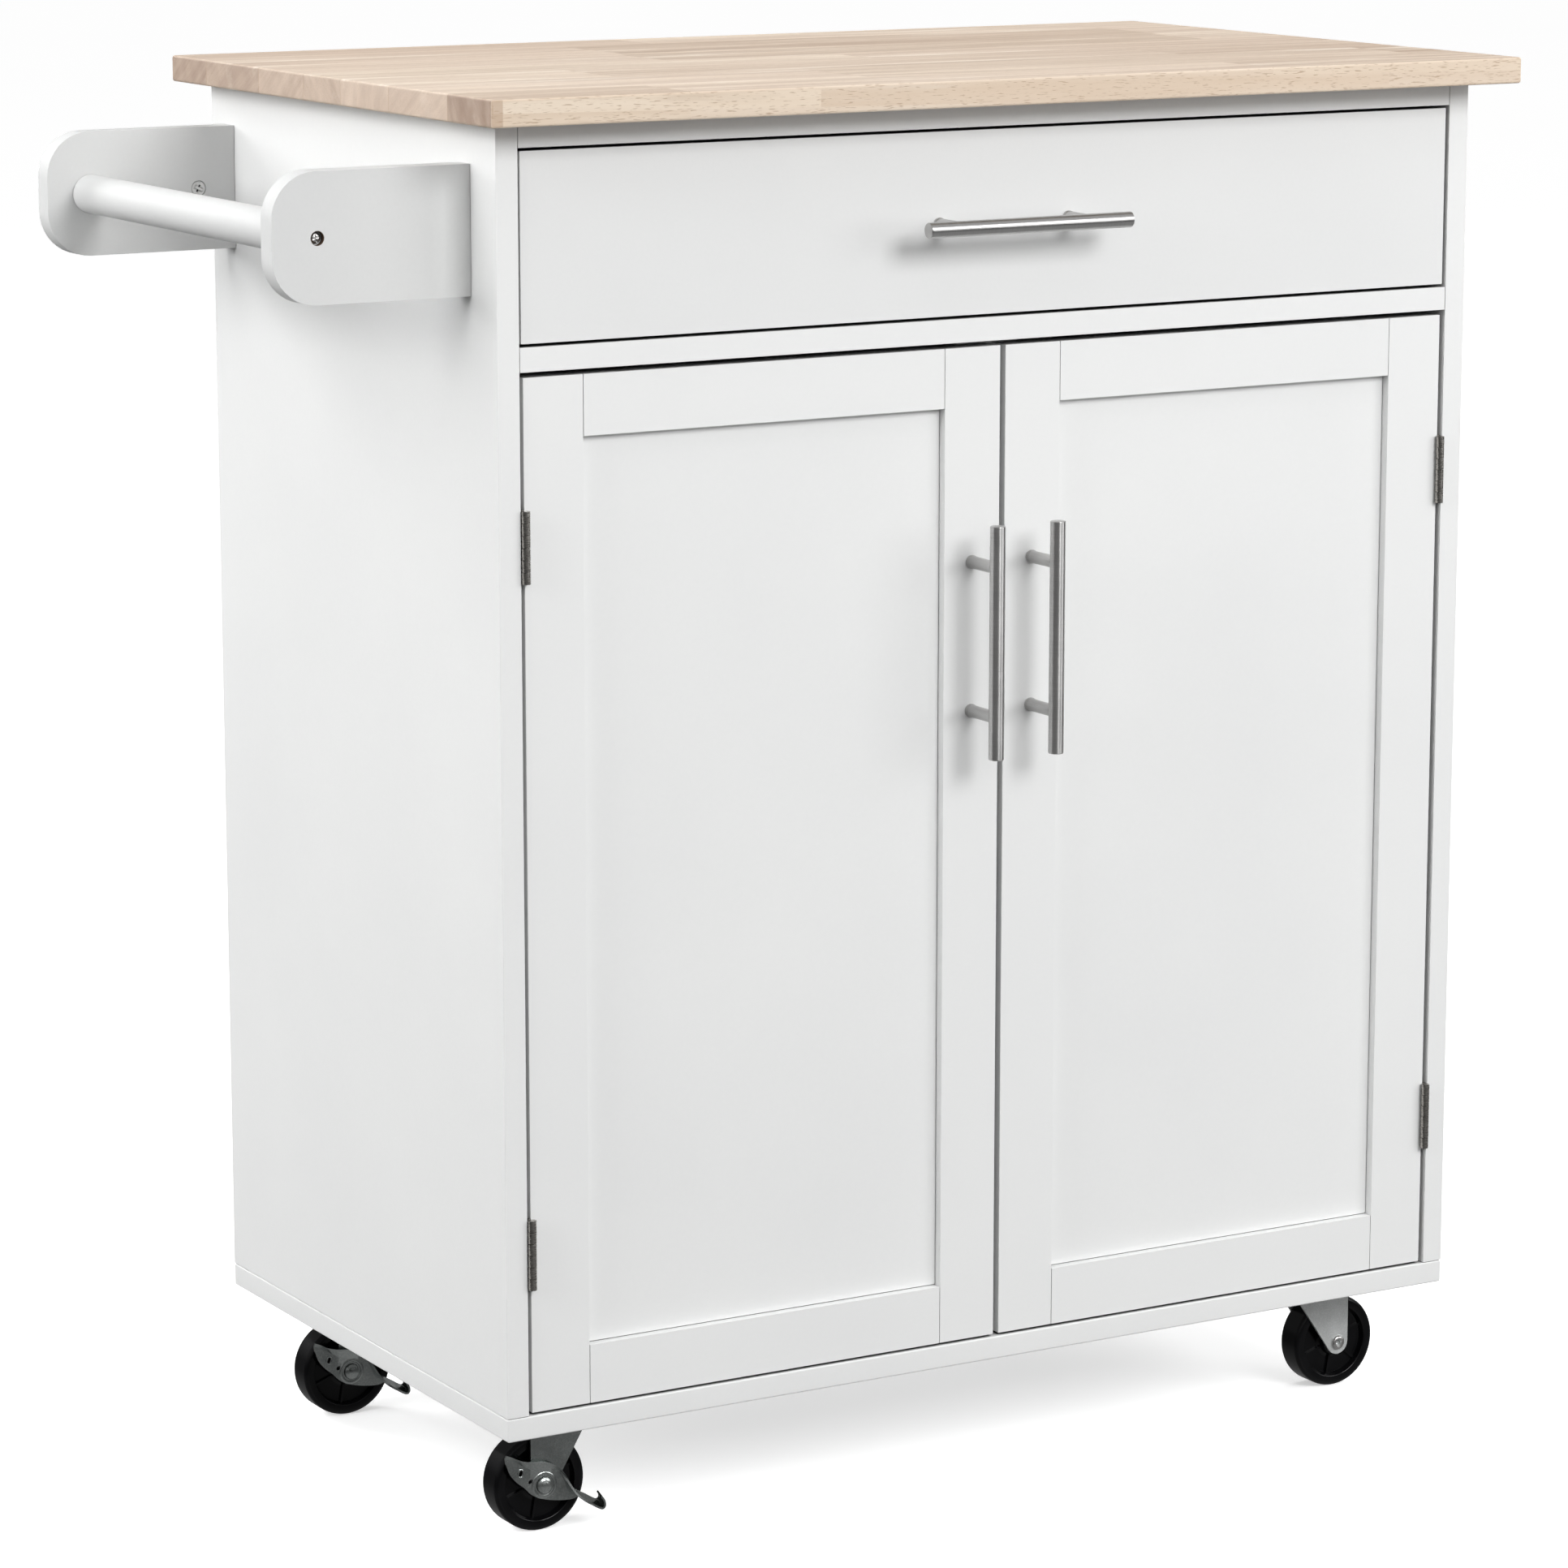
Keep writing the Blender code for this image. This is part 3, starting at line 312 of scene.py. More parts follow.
def zinc(name, light, dark, roughness, metallic=1.0):
    """Bright zinc plating: cloudy, with fine handling scratches."""
    g = Graph(name, Metallic=metallic)
    cloud = g.noise(g.place, 65.0, 5.0, 0.6)
    crystals = g.cells(g.moved(g.place, (0.3, 0.7, 0.1)), 900.0)
    scratch = g.noise(g.stretched(g.place, (90.0, 90.0, 2400.0)), 1.0, 2.0)
    tone = g.add(g.times(cloud, 0.7), g.times(crystals, 0.3))
    g.colour(g.tint(g.span(tone, 0.3, 0.75), dark, light))
    g.roughness(g.add(g.span(cloud, 0.3, 0.7, roughness - 0.07, roughness + 0.08), g.times(scratch, 0.05)))
    # The pressed sheet is never quite flat, so its reflections bend
    waves = g.noise(g.place, 24.0, 1.0)
    fine = g.add(g.times(crystals, 0.6), g.times(scratch, 0.4))
    g.bump(g.add(g.times(fine, 0.012), g.times(waves, 1.1)), 1 * MM)
    return g.material


def plastic(name, light, dark, roughness, coat, shine):
    """Moulded plastic: faint flow marks and a fine moulded grain."""
    g = Graph(name, Specular_IOR_Level=shine, Coat_Weight=coat, Coat_Roughness=0.12)
    flow = g.noise(g.place, 60.0, 3.0)
    grain = g.noise(g.place, 1500.0, 2.0)
    g.colour(g.tint(g.span(flow, 0.3, 0.7), dark, light))
    mottle = g.add(g.times(flow, 0.6), g.times(grain, 0.4))
    g.roughness(g.span(mottle, 0.3, 0.7, roughness - 0.05, roughness + 0.07))
    g.bump(g.add(g.times(flow, 0.5), g.times(grain, 0.5)), 0.015 * MM)
    return g.material


WOOD = rubberwood()
PEEL = (520.0, 0.02 * MM)  # features in a metre, and their depth
PAINT = paint("white_satin_paint", rgb(0.80, 0.805, 0.80), rgb(0.775, 0.78, 0.778), 0.48, *PEEL)
# Painted shade: the towel rail's brackets and rod get a darker copy of the white paint, for light that falls
# off towards the left
RACK_SHADED_PAINT = paint("towel_rail_painted_shade", rgb(0.68, 0.685, 0.68), rgb(0.65, 0.655, 0.653), 0.46, *PEEL)
# Painted shade: the drawer front gets a slightly darker copy of the white paint, for the shade under the
# slab's overhang
DRAWER_SHADED_PAINT = paint("drawer_front_painted_shade", rgb(0.755, 0.76, 0.757), rgb(0.73, 0.735, 0.733), 0.48, *PEEL)
# Bare board brown, darkened well past raw fibreboard: painted shade for the screw pockets
RAW_BOARD_AND_SHADE = paint("raw_fibreboard_and_painted_shade", rgb(0.13, 0.085, 0.055), rgb(0.075, 0.047, 0.03), 0.8, 700.0, 0.1 * MM)
HARDBOARD = paint("white_coated_board", rgb(0.77, 0.77, 0.76), rgb(0.72, 0.72, 0.71), 0.55, 210.0, 0.05 * MM)
BRUSHED_X = ground_steel("ground_steel_x", (1.0, 0.0, 0.0))
BRUSHED_Z = ground_steel("ground_steel_z", (0.0, 0.0, 1.0))
ZINC = zinc("zinc_plated", rgb(0.44, 0.46, 0.45), rgb(0.28, 0.30, 0.295), 0.2)
# Painted light: a paler, half-matte copy of the zinc plating for the forks of the casters without a brake,
# so they read brighter
LIT_ZINC = zinc("light_zinc_plated", rgb(0.72, 0.735, 0.73), rgb(0.54, 0.555, 0.55), 0.32, 0.45)
SLIDE_ZINC = zinc("slide_zinc", rgb(0.66, 0.67, 0.68), rgb(0.54, 0.55, 0.56), 0.3)
# Dark metal: the real colour of the catch's magnets, and painted shade on the cam drums seen through the
# bracket covers' slots
DARK_METAL_AND_SLOT_SHADE = zinc("magnet_dark_and_slot_shade", rgb(0.16, 0.16, 0.17), rgb(0.09, 0.09, 0.1), 0.5)
HINGE = metal("hinge_nickel", rgb(0.48, 0.46, 0.43), rgb(0.30, 0.285, 0.265), (300, 300, 1600), 0.27)
SCREW = metal("screw_steel", rgb(0.64, 0.63, 0.62), rgb(0.45, 0.44, 0.43), (900, 900, 900), 0.3)
JET, SOOT = rgb(0.0042, 0.0042, 0.0048), rgb(0.002, 0.002, 0.0024)
BLACK = plastic("black_wheel_plastic", JET, SOOT, 0.17, 0.06, 0.2)
WHITE_PLASTIC = plastic("white_plastic", rgb(0.76, 0.76, 0.75), rgb(0.70, 0.70, 0.69), 0.42, 0.0, 0.5)


# ---------------------------------------------------------------- CAD nodes


def smooth_nodes():
    """A geometry node group that shades smooth across soft edges and sharp across hard ones."""
    tree = bpy.data.node_groups.new("shade_by_angle", "GeometryNodeTree")
    tree.interface.new_socket("Geometry", in_out="INPUT", socket_type="NodeSocketGeometry")
    tree.interface.new_socket("Geometry", in_out="OUTPUT", socket_type="NodeSocketGeometry")
    start = tree.nodes.new("NodeGroupInput")
    end = tree.nodes.new("NodeGroupOutput")
    strip = tree.nodes.new("GeometryNodeRemoveAttribute")
    strip.inputs["Name"].default_value = "custom_normal"
    faces = tree.nodes.new("GeometryNodeSetShadeSmooth")
    faces.domain = "FACE"
    edges = tree.nodes.new("GeometryNodeSetShadeSmooth")
    edges.domain = "EDGE"
    edges.inputs["Shade Smooth"].default_value = False
    angle = tree.nodes.new("GeometryNodeInputMeshEdgeAngle")
    hard = tree.nodes.new("FunctionNodeCompare")
    hard.operation = "GREATER_THAN"
    hard.inputs["B"].default_value = SMOOTH_ANGLE
    tree.links.new(start.outputs[0], strip.inputs["Geometry"])
    tree.links.new(strip.outputs["Geometry"], faces.inputs["Geometry"])
    tree.links.new(faces.outputs["Geometry"], edges.inputs["Geometry"])
    tree.links.new(angle.outputs["Unsigned Angle"], hard.inputs["A"])
    tree.links.new(hard.outputs["Result"], edges.inputs["Selection"])
    tree.links.new(edges.outputs["Geometry"], end.inputs[0])
    return tree


SMOOTH_NODES = smooth_nodes()


def soften(obj, bevel, segments=2):
    """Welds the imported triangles, rounds the hard edges and shades what is left by angle."""
    weld = obj.modifiers.new("weld", "WELD")
    weld.merge_threshold = 0.001 * MM
    if bevel:
        rounding = obj.modifiers.new("rounding", "BEVEL")
        rounding.limit_method = "ANGLE"
        rounding.angle_limit = math.radians(32)
        rounding.width = bevel
        rounding.segments = segments
        rounding.use_clamp_overlap = True
    shading = obj.modifiers.new("shading", "NODES")
    shading.node_group = SMOOTH_NODES
    weighted = obj.modifiers.new("weighted", "WEIGHTED_NORMAL")
    weighted.keep_sharp = True


def finish_node(name, material, bevel, segments=2):
    obj = NODES[name]
    obj.data.materials.clear()
    obj.data.materials.append(material)
    soften(obj, bevel, segments)


BY_SLOT = {
    "rubberwood": (WOOD, 1.6 * MM, 4),
    "white_paint": (PAINT, 0.4 * MM, 2),
    "white_hardboard": (HARDBOARD, 0.2 * MM, 1),
    "brushed_steel": (BRUSHED_Z, 0.6 * MM, 3),
    "zinc_plate": (ZINC, 0.3 * MM, 2),
    "hinge_steel": (HINGE, 0.15 * MM, 2),
    "black_plastic": (BLACK, 0.5 * MM, 2),
    "white_plastic": (WHITE_PLASTIC, 0.8 * MM, 3),
}
SPECIAL = {
    "base_panel": (PAINT, 1.1 * MM, 3),
    "drawer_front": (DRAWER_SHADED_PAINT, 0.4 * MM, 2),
    "towel_bracket_front": (RACK_SHADED_PAINT, 1.1 * MM, 3),
    "towel_bracket_rear": (RACK_SHADED_PAINT, 1.1 * MM, 3),
    "towel_rod": (RACK_SHADED_PAINT, 0.4 * MM, 2),
    "front_right_caster_fork": (LIT_ZINC, 0.3 * MM, 2),
    "rear_right_caster_fork": (LIT_ZINC, 0.3 * MM, 2),
    "slide_outer_left": (SLIDE_ZINC, 0.25 * MM, 2),
    "slide_outer_right": (SLIDE_ZINC, 0.25 * MM, 2),
    "slide_inner_left": (SLIDE_ZINC, 0.25 * MM, 2),
    "slide_inner_right": (SLIDE_ZINC, 0.25 * MM, 2),
}
for node_name, node in NODES.items():
    slot_name = node.data.materials[0].name.split(".")[0]
    finish_node(node_name, *SPECIAL.get(node_name, BY_SLOT[slot_name]))


# ---------------------------------------------------------------- mesh makers


def turned(profile, segments):
    """A closed solid from (radius, height) points, out from the axis and back to it, turned about Z."""
    shape = bmesh.new()
    rings = []
    for radius, height in profile:
        if radius < 0.001 * MM:
            rings.append([shape.verts.new((0, 0, height))])
            continue
        turns = [2 * math.pi * i / segments for i in range(segments)]
        circle = [(radius * math.cos(turn), radius * math.sin(turn), height) for turn in turns]
        rings.append([shape.verts.new(point) for point in circle])
    for lower, upper in zip(rings, rings[1:]):
        for i in range(segments):
            j = (i + 1) % segments
            near = [lower[i % len(lower)], lower[j % len(lower)]]
            far = [upper[j % len(upper)], upper[i % len(upper)]]
            unique = list(dict.fromkeys(near + far))
            if len(unique) > 2:
                shape.faces.new(unique)
    bmesh.ops.recalc_face_normals(shape, faces=shape.faces)
    return shape


def turned_ring(profile, segments):
    """A ring whose closed cross-section is given as (radius, height) points in millimetres."""
    loop = [(radius * MM, height * MM) for radius, height in profile]
    ring = turned(loop + [loop[0]], segments)
    bmesh.ops.remove_doubles(ring, verts=ring.verts, dist=0.001 * MM)
    bmesh.ops.recalc_face_normals(ring, faces=ring.faces)
    return ring


def to_mesh(name, shape):
    mesh = bpy.data.meshes.new(name)
    shape.to_mesh(mesh)
    shape.free()
    return mesh


def drum(radius, low, high, segments=SMALL):
    """A plain cylinder about Z between two heights."""
    return turned([(0, low), (radius, low), (radius, high), (0, high)], segments)


def box_shape(size, centre=(0, 0, 0)):
    shape = bmesh.new()
    place = Matrix.Translation(centre) @ Matrix.Diagonal((*size, 1.0))
    bmesh.ops.create_cube(shape, size=1.0, matrix=place)
    return shape


def turn_to(direction, roll=0.0):
    """A rotation that takes +Z to the direction, after a roll about Z."""
    return direction.to_track_quat("Z", "Y").to_matrix().to_4x4() @ Matrix.Rotation(roll, 4, "Z")


def copies(template, matrices):
    """One bmesh with the template mesh at each matrix."""
    shape = bmesh.new()
    for matrix in matrices:
        start = len(shape.verts)
        shape.from_mesh(template)
        shape.verts.ensure_lookup_table()
        bmesh.ops.transform(shape, matrix=matrix, verts=shape.verts[start:])
    return shape


def carve(name, solid, tool):
    """The solid with the tool's shape cut out of it, as a mesh."""
    target = bpy.data.objects.new(name, to_mesh(name, solid))
    cutter = bpy.data.objects.new(f"{name}_cutter", to_mesh(f"{name}_cutter", tool))
    for obj in (target, cutter):
        bpy.context.scene.collection.objects.link(obj)
    cut = target.modifiers.new("cut", "BOOLEAN")
    cut.operation = "DIFFERENCE"
    cut.solver = "EXACT"
    cut.object = cutter
    bpy.context.view_layer.update()
    graph = bpy.context.evaluated_depsgraph_get()
    mesh = bpy.data.meshes.new_from_object(target.evaluated_get(graph))
    for obj in (target, cutter):
        bpy.data.objects.remove(obj, do_unlink=True)
    return mesh


def piece(name, shape, body, material, bevel=0.0, segments=2):
    """Puts a shape in the scene as a visible piece that rides on a body."""
    mesh = shape if isinstance(shape, bpy.types.Mesh) else to_mesh(name, shape)
    mesh.materials.clear()
    mesh.materials.append(material)
    obj = bpy.data.objects.new(name, mesh)
    bpy.context.scene.collection.objects.link(obj)
    soften(obj, bevel, segments)
    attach(obj, body)
    return obj


def crossed(name, shape, span, width, depth, level=0.0):
    """The shape as a mesh, with a slot along X and one along Y cut into it round a level."""
    once = carve(name, shape, box_shape((span, width, depth), (0, 0, level)))
    again = bmesh.new()
    again.from_mesh(once)
    return carve(name, again, box_shape((width, span, depth), (0, 0, level)))


def pan_head(name, radius, height):
    """A domed screw head on z = 0 that faces +Z, with a cross recess."""
    profile = [
        (0, 0), (radius * 0.96, 0), (radius, height * 0.2), (radius * 0.97, height * 0.5),
        (radius * 0.82, height * 0.8), (radius * 0.5, height * 0.97), (0, height),
    ]
    return crossed(name, turned(profile, SMALL), 1.5 * radius, 0.3 * radius, height, height)


def flat_head(name, radius, height):
    """A flush screw head on z = 0 that faces +Z, with a cross recess right through it."""
    profile = [(0, 0), (radius, 0), (radius * 0.93, height), (0, height)]
    return crossed(name, turned(profile, SMALL), 1.2 * radius, 0.26 * radius, 4 * height)


def cam_disc(name, radius, thickness):
    """A cam lock's cover: a shallow rim and a plain cross slot right through it."""
    dish = thickness * 0.9
    profile = [
        (0, 0), (radius, 0), (radius, thickness),
        (radius * 0.88, thickness), (radius * 0.84, dish), (0, dish),
    ]
    return crossed(name, turned(profile, 2 * SMALL), 1.1 * radius, 0.3 * radius, 4 * thickness)


def at(point, direction, roll=0.0):
    """Where a small piece goes: its origin at the point and its +Z along the direction."""
    return Matrix.Translation(point) @ turn_to(direction, roll)


# ---------------------------------------------------------------- small hardware


def towel_rail_hardware():
    screw = pan_head("bracket_screw", 3.3 * MM, 2.0 * MM)
    lock = to_mesh("bracket_cam_lock", drum(4.2 * MM, 0.1 * MM, 1.3 * MM, 2 * SMALL))
    cover = cam_disc("bracket_cam_cover", 4.7 * MM, 1.0 * MM)
    cover_height = 1.5 * MM
    front_low, front_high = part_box("towel_bracket_front")
    rear_low, rear_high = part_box("towel_bracket_rear")
    middle = (front_low.z + front_high.z) / 2
    rod_low, rod_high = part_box("towel_rod")
    rod_x = (rod_low.x + rod_high.x) / 2
    pocket = 4 * MM
    cam_depth = 3 * MM
    cam_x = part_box("side_panel_left")[0].x - 26 * MM
    screws = [
        at((rod_x, front_low.y + pocket, middle), FRONT, 0.3),
        at((rod_x, rear_high.y - pocket, middle), BACK, 0.9),
    ]
    piece("towel_bracket_screws", copies(screw, screws), "cabinet", SCREW)
    # The drilled wall of each screw pocket is bare board, its brown made far darker than raw fibreboard:
    # painted shade inside the pocket
    wall = to_mesh("pocket_wall", turned_ring([(4.2, 0.1), (4.2, 3.7), (4.45, 3.7), (4.45, 0.1)], RIM))
    piece("towel_bracket_bare_pockets", copies(wall, screws), "cabinet", RAW_BOARD_AND_SHADE)
    locks = [
        at((cam_x, front_high.y - cam_depth, middle), BACK, 0.4),
        at((cam_x, rear_low.y + cam_depth, middle), FRONT, 1.1),
    ]
    # Painted shade: the cam drums are near-black metal so that the covers' slots read dark
    piece("towel_bracket_cams_painted_shade", copies(lock, locks), "cabinet", DARK_METAL_AND_SLOT_SHADE)
    covers = [place @ Matrix.Translation((0, 0, cover_height)) for place in locks]
    piece("towel_bracket_cam_covers", copies(cover, covers), "cabinet", WHITE_PLASTIC)


def bar_handles():
    """Bars with broken edges on two posts, in place of the plainer packed ones."""
    post_radius = 4 * MM
    collar = post_radius + 0.5 * MM
    broken = 0.6 * MM
    for node, body in (
        ("drawer_handle", "drawer"), ("left_door_handle", "left_door"), ("right_door_handle", "right_door"),
    ):
        low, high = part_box(node)
        middle = (low + high) / 2
        upright = high.z - low.z > high.x - low.x
        along = UP if upright else RIGHT
        half = (high.z - low.z if upright else high.x - low.x) / 2
        radius = (high.x - low.x if upright else high.z - low.z) / 2
        axis = Vector((middle.x, low.y + radius, middle.z))
        end = [(radius, half - broken), (radius - 0.18 * MM, half - 0.24 * MM), (radius - broken, half)]
        bar = turned([(0, -half)] + [(r, -h) for r, h in reversed(end)] + end + [(0, half)], ROUND)
        bmesh.ops.transform(bar, matrix=at(axis, along), verts=bar.verts)
        reach = high.y - axis.y
        post = [
            (0, 0), (post_radius, 0), (post_radius, reach - 1.6 * MM),
            (collar - 0.15 * MM, reach - 1.3 * MM), (collar, reach - 0.9 * MM), (collar, reach), (0, reach),
        ]
        post_mesh = to_mesh("post", turned(post, ROUND // 2))
        for side in (-SCREW_SPACING / 2, SCREW_SPACING / 2):
            spot = axis + along * side
            bar.from_mesh(to_mesh("posts", copies(post_mesh, [at(spot, BACK)])))
        obj = piece(f"{node}_bar", bar, body, BRUSHED_Z if upright else BRUSHED_X)
        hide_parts(node)


def handle_screws():
    screw = pan_head("handle_screw", 4.2 * MM, 2.1 * MM)
    thickness = 0.7 * MM
    washer = to_mesh("washer", drum(6 * MM, 0, thickness))
    for handle, board, body in (
        ("drawer_handle", "drawer_front", "drawer"),
        ("left_door_handle", "left_door_free_stile", "left_door"),
        ("right_door_handle", "right_door_free_stile", "right_door"),
    ):
        low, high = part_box(handle)
        middle = (low + high) / 2
        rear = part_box(board)[1].y
        along = RIGHT if high.x - low.x > high.z - low.z else UP
        spots = []
        for side in (-SCREW_SPACING / 2, SCREW_SPACING / 2):
            spot = middle + along * side
            spots.append(Vector((spot.x, rear, spot.z)))
        shape = copies(washer, [at(spot, BACK) for spot in spots])
        places = [at(spot + BACK * thickness, BACK, 0.5 + spot.x * 9) for spot in spots]
        shape.from_mesh(to_mesh("heads", copies(screw, places)))
        piece(f"{handle}_screws", shape, body, SCREW)


def hinge_screws():
    screw = flat_head("hinge_screw", 2.7 * MM, 0.14 * MM)
    leaf_thickness = 1.3 * MM  # with the gap under it
    rise = 13 * MM
    inset = 5 * MM
    for side, outward in (("left", RIGHT), ("right", LEFT)):
        panel_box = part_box(f"side_panel_{side}")
        panel_face = panel_box[1].x if side == "left" else panel_box[0].x
        stile_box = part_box(f"{side}_door_hinge_stile")
        stile_face = stile_box[0].x if side == "left" else stile_box[1].x
        for level in ("lower", "upper"):
            low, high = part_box(f"{side}_{level}_hinge_cabinet_leaf")
            middle = (low.z + high.z) / 2
            depth = high.y - inset
            heights = (middle - rise, middle + rise)
            for kind, body, face, facing in (
                ("cabinet", "cabinet", panel_face + outward.x * leaf_thickness, outward),
                ("door", f"{side}_door", stile_face - outward.x * leaf_thickness, -outward),
            ):
                places = [at((face, depth, height), facing, height * 90) for height in heights]
                name = f"{side}_{level}_hinge_{kind}_screws"
                piece(name, copies(screw, places), body, SCREW)


def caster_screws():
    washer = to_mesh("flange", drum(5.4 * MM, 0, 0.7 * MM))
    hexagon = [(0, 0), (4 * MM, 0), (4 * MM, 1.9 * MM), (3.3 * MM, 2.3 * MM), (0, 2.3 * MM)]
    head = to_mesh("hexagon", turned(hexagon, 6))
    plate_thickness = 2.2 * MM  # with the gap over it
    hole_x, hole_y = 24 * MM, 16 * MM
    for corner in CORNERS:
        low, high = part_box(f"{corner}_caster_plate")
        middle = (low + high) / 2
        under = high.z - plate_thickness
        ways = ((-1, -1), (-1, 1), (1, -1), (1, 1))
        spots = [Vector((middle.x + dx * hole_x, middle.y + dy * hole_y, under)) for dx, dy in ways]
        shape = copies(washer, [at(spot, DOWN) for spot in spots])
        places = [at(spot + DOWN * 0.5 * MM, DOWN, spot.x * 40 + spot.y * 70) for spot in spots]
        shape.from_mesh(to_mesh("heads", copies(head, places)))
        piece(f"{corner}_caster_screws", shape, "cabinet", SCREW)


def shelf_pins():
    low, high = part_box("adjustable_shelf")
    left_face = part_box("side_panel_left")[1].x
    right_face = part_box("side_panel_right")[0].x
    radius = 2.4 * MM
    pin = [(0, 0), (radius, 0), (radius, 8 * MM), (radius * 0.7, 8.7 * MM), (0, 8.7 * MM)]
    pin_mesh = to_mesh("pin", turned(pin, SMALL))
    collar_mesh = to_mesh("collar", drum(4.4 * MM, 0.1 * MM, 1.1 * MM))
    front_inset, rear_inset = 40 * MM, 50 * MM
    height = low.z - 4.6 * MM
    places = []
    for face, direction in ((left_face, RIGHT), (right_face, LEFT)):
        for y in (low.y + front_inset, high.y - rear_inset):
            places.append(at((face, y, height), direction))
    shape = copies(pin_mesh, places)
    shape.from_mesh(to_mesh("collars", copies(collar_mesh, places)))
    piece("shelf_pins", shape, "cabinet", SCREW)


def magnetic_catch_parts():
    low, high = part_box("magnetic_catch")
    middle = (low + high) / 2
    width = (high.x - low.x) / 2
    poles = bmesh.new()
    magnets = bmesh.new()
    for side in (-1, 1):
        centre = middle.x + side * width / 2
        for level in (-1, 1):
            spot = (centre, low.y + 1.9 * MM, middle.z + level * 2.9 * MM)
            poles.from_mesh(to_mesh("pole", box_shape((15 * MM, 4 * MM, 1.2 * MM), spot)))
        magnet = (centre, low.y + 2 * MM, middle.z)
        magnets.from_mesh(to_mesh("magnet", box_shape((14 * MM, 4.04 * MM, 4.2 * MM), magnet)))
    piece("magnetic_catch_poles", poles, "cabinet", SLIDE_ZINC, 0.1 * MM, 1)
    piece("magnetic_catch_magnets", magnets, "cabinet", DARK_METAL_AND_SLOT_SHADE, 0.1 * MM, 1)
    screw = flat_head("strike_screw", 2.6 * MM, 0.12 * MM)
    for side in ("left", "right"):
        strike_low, strike_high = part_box(f"{side}_door_strike")
        centre = (strike_low + strike_high) / 2
        place = at((centre.x, strike_high.y, centre.z), BACK, 0.6)
        piece(f"{side}_door_strike_screw", copies(screw, [place]), f"{side}_door", SCREW)


def slide_parts():
    """Ball rows with their retainers, and the screws in the inner channels."""
    cage_length = 150 * MM
    row_height = 14.9 * MM
    ball_count = 13
    ball_spacing = 11.5 * MM
    screw_depths = (35, 165, 300)  # in millimetres from the channel's front end
    ball = bmesh.new()
    bmesh.ops.create_icosphere(ball, subdivisions=2, radius=1.25 * MM)
    ball_mesh = to_mesh("ball", ball)
    screw = pan_head("slide_screw", 3.4 * MM, 1.6 * MM)
    for side, inward in (("left", 1), ("right", -1)):
        outer_low, outer_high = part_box(f"slide_outer_{side}")
        inner_low, inner_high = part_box(f"slide_inner_{side}")
        middle_z = (outer_low.z + outer_high.z) / 2
        cage_x = (max(outer_low.x, inner_low.x) + min(outer_high.x, inner_high.x)) / 2
        start = outer_low.y + 12 * MM
        cage = bmesh.new()
        balls = []
        for level in (-1, 1):
            z = middle_z + level * row_height
            strip = box_shape((6 * MM, cage_length, 0.5 * MM), (cage_x, start + cage_length / 2, z))
            cage.from_mesh(to_mesh("strip", strip))
            depths = [start + 6 * MM + ball_spacing * i for i in range(ball_count)]
            balls += [Matrix.Translation((cage_x, depth, z)) for depth in depths]
        piece(f"slide_retainer_{side}", cage, "cabinet", SLIDE_ZINC, 0.1 * MM, 1)
        piece(f"slide_balls_{side}", copies(ball_mesh, balls), "cabinet", SCREW)
        web = inner_high.x if side == "left" else inner_low.x
        face = web - inward * 1.2 * MM
        direction = LEFT if side == "left" else RIGHT
        spots = [at((face, inner_low.y + d * MM, middle_z), direction, d * 0.1) for d in screw_depths]
        piece(f"slide_screws_{side}", copies(screw, spots), "drawer", SCREW)


def back_panel_pins():
    low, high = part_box("back_panel")
    pin = [(0, 0), (2.8 * MM, 0), (2.6 * MM, 0.5 * MM), (1.6 * MM, 0.9 * MM), (0, 1.0 * MM)]
    pin_mesh = to_mesh("pin", turned(pin, SMALL))
    inset = 7 * MM
    across = [low.x + inset + (high.x - low.x - 2 * inset) * i / 5 for i in range(6)]
    upward = [low.z + inset + (high.z - low.z - 2 * inset) * i / 6 for i in range(1, 6)]
    spots = [(x, high.y, z) for x in across for z in (low.z + inset, high.z - inset)]
    spots += [(x, high.y, z) for x in (low.x + inset, high.x - inset) for z in upward]
    piece("back_panel_pins", copies(pin_mesh, [at(s, BACK) for s in spots]), "cabinet", SCREW)


def cabinet_fasteners():
    """Screws through the base into the side panels, and cam locks under the rails."""
    base_low, base_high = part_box("base_panel")
    half_board = 7.5 * MM
    cam_inset = 34 * MM
    head = pan_head("base_screw", 4.6 * MM, 0.9 * MM)
    places = []
    for x in (base_low.x + half_board, base_high.x - half_board):
        for share in (0.1, 0.5, 0.9):
            y = base_low.y + (base_high.y - base_low.y) * share
            places.append(at((x, y, base_low.z), DOWN, share * 7))
    piece("base_screws", copies(head, places), "cabinet", SCREW)
    disc = cam_disc("rail_cam", 7.2 * MM, 0.5 * MM)
    places = []
    for rail in ("mid_rail", "top_front_rail", "top_rear_rail"):
        low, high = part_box(rail)
        for x in (low.x + cam_inset, high.x - cam_inset):
            places.append(at((x, (low.y + high.y) / 2, low.z), DOWN, x * 5))
    piece("rail_cams", copies(disc, places), "cabinet", ZINC)


towel_rail_hardware()
bar_handles()
handle_screws()
hinge_screws()
caster_screws()
shelf_pins()
magnetic_catch_parts()
slide_parts()
back_panel_pins()
cabinet_fasteners()


# ---------------------------------------------------------------- wheels and levers

# The hole for a lever's spring, as x and z from the axle in millimetres
LEVER_HOOK = (-16.6, 10.2)


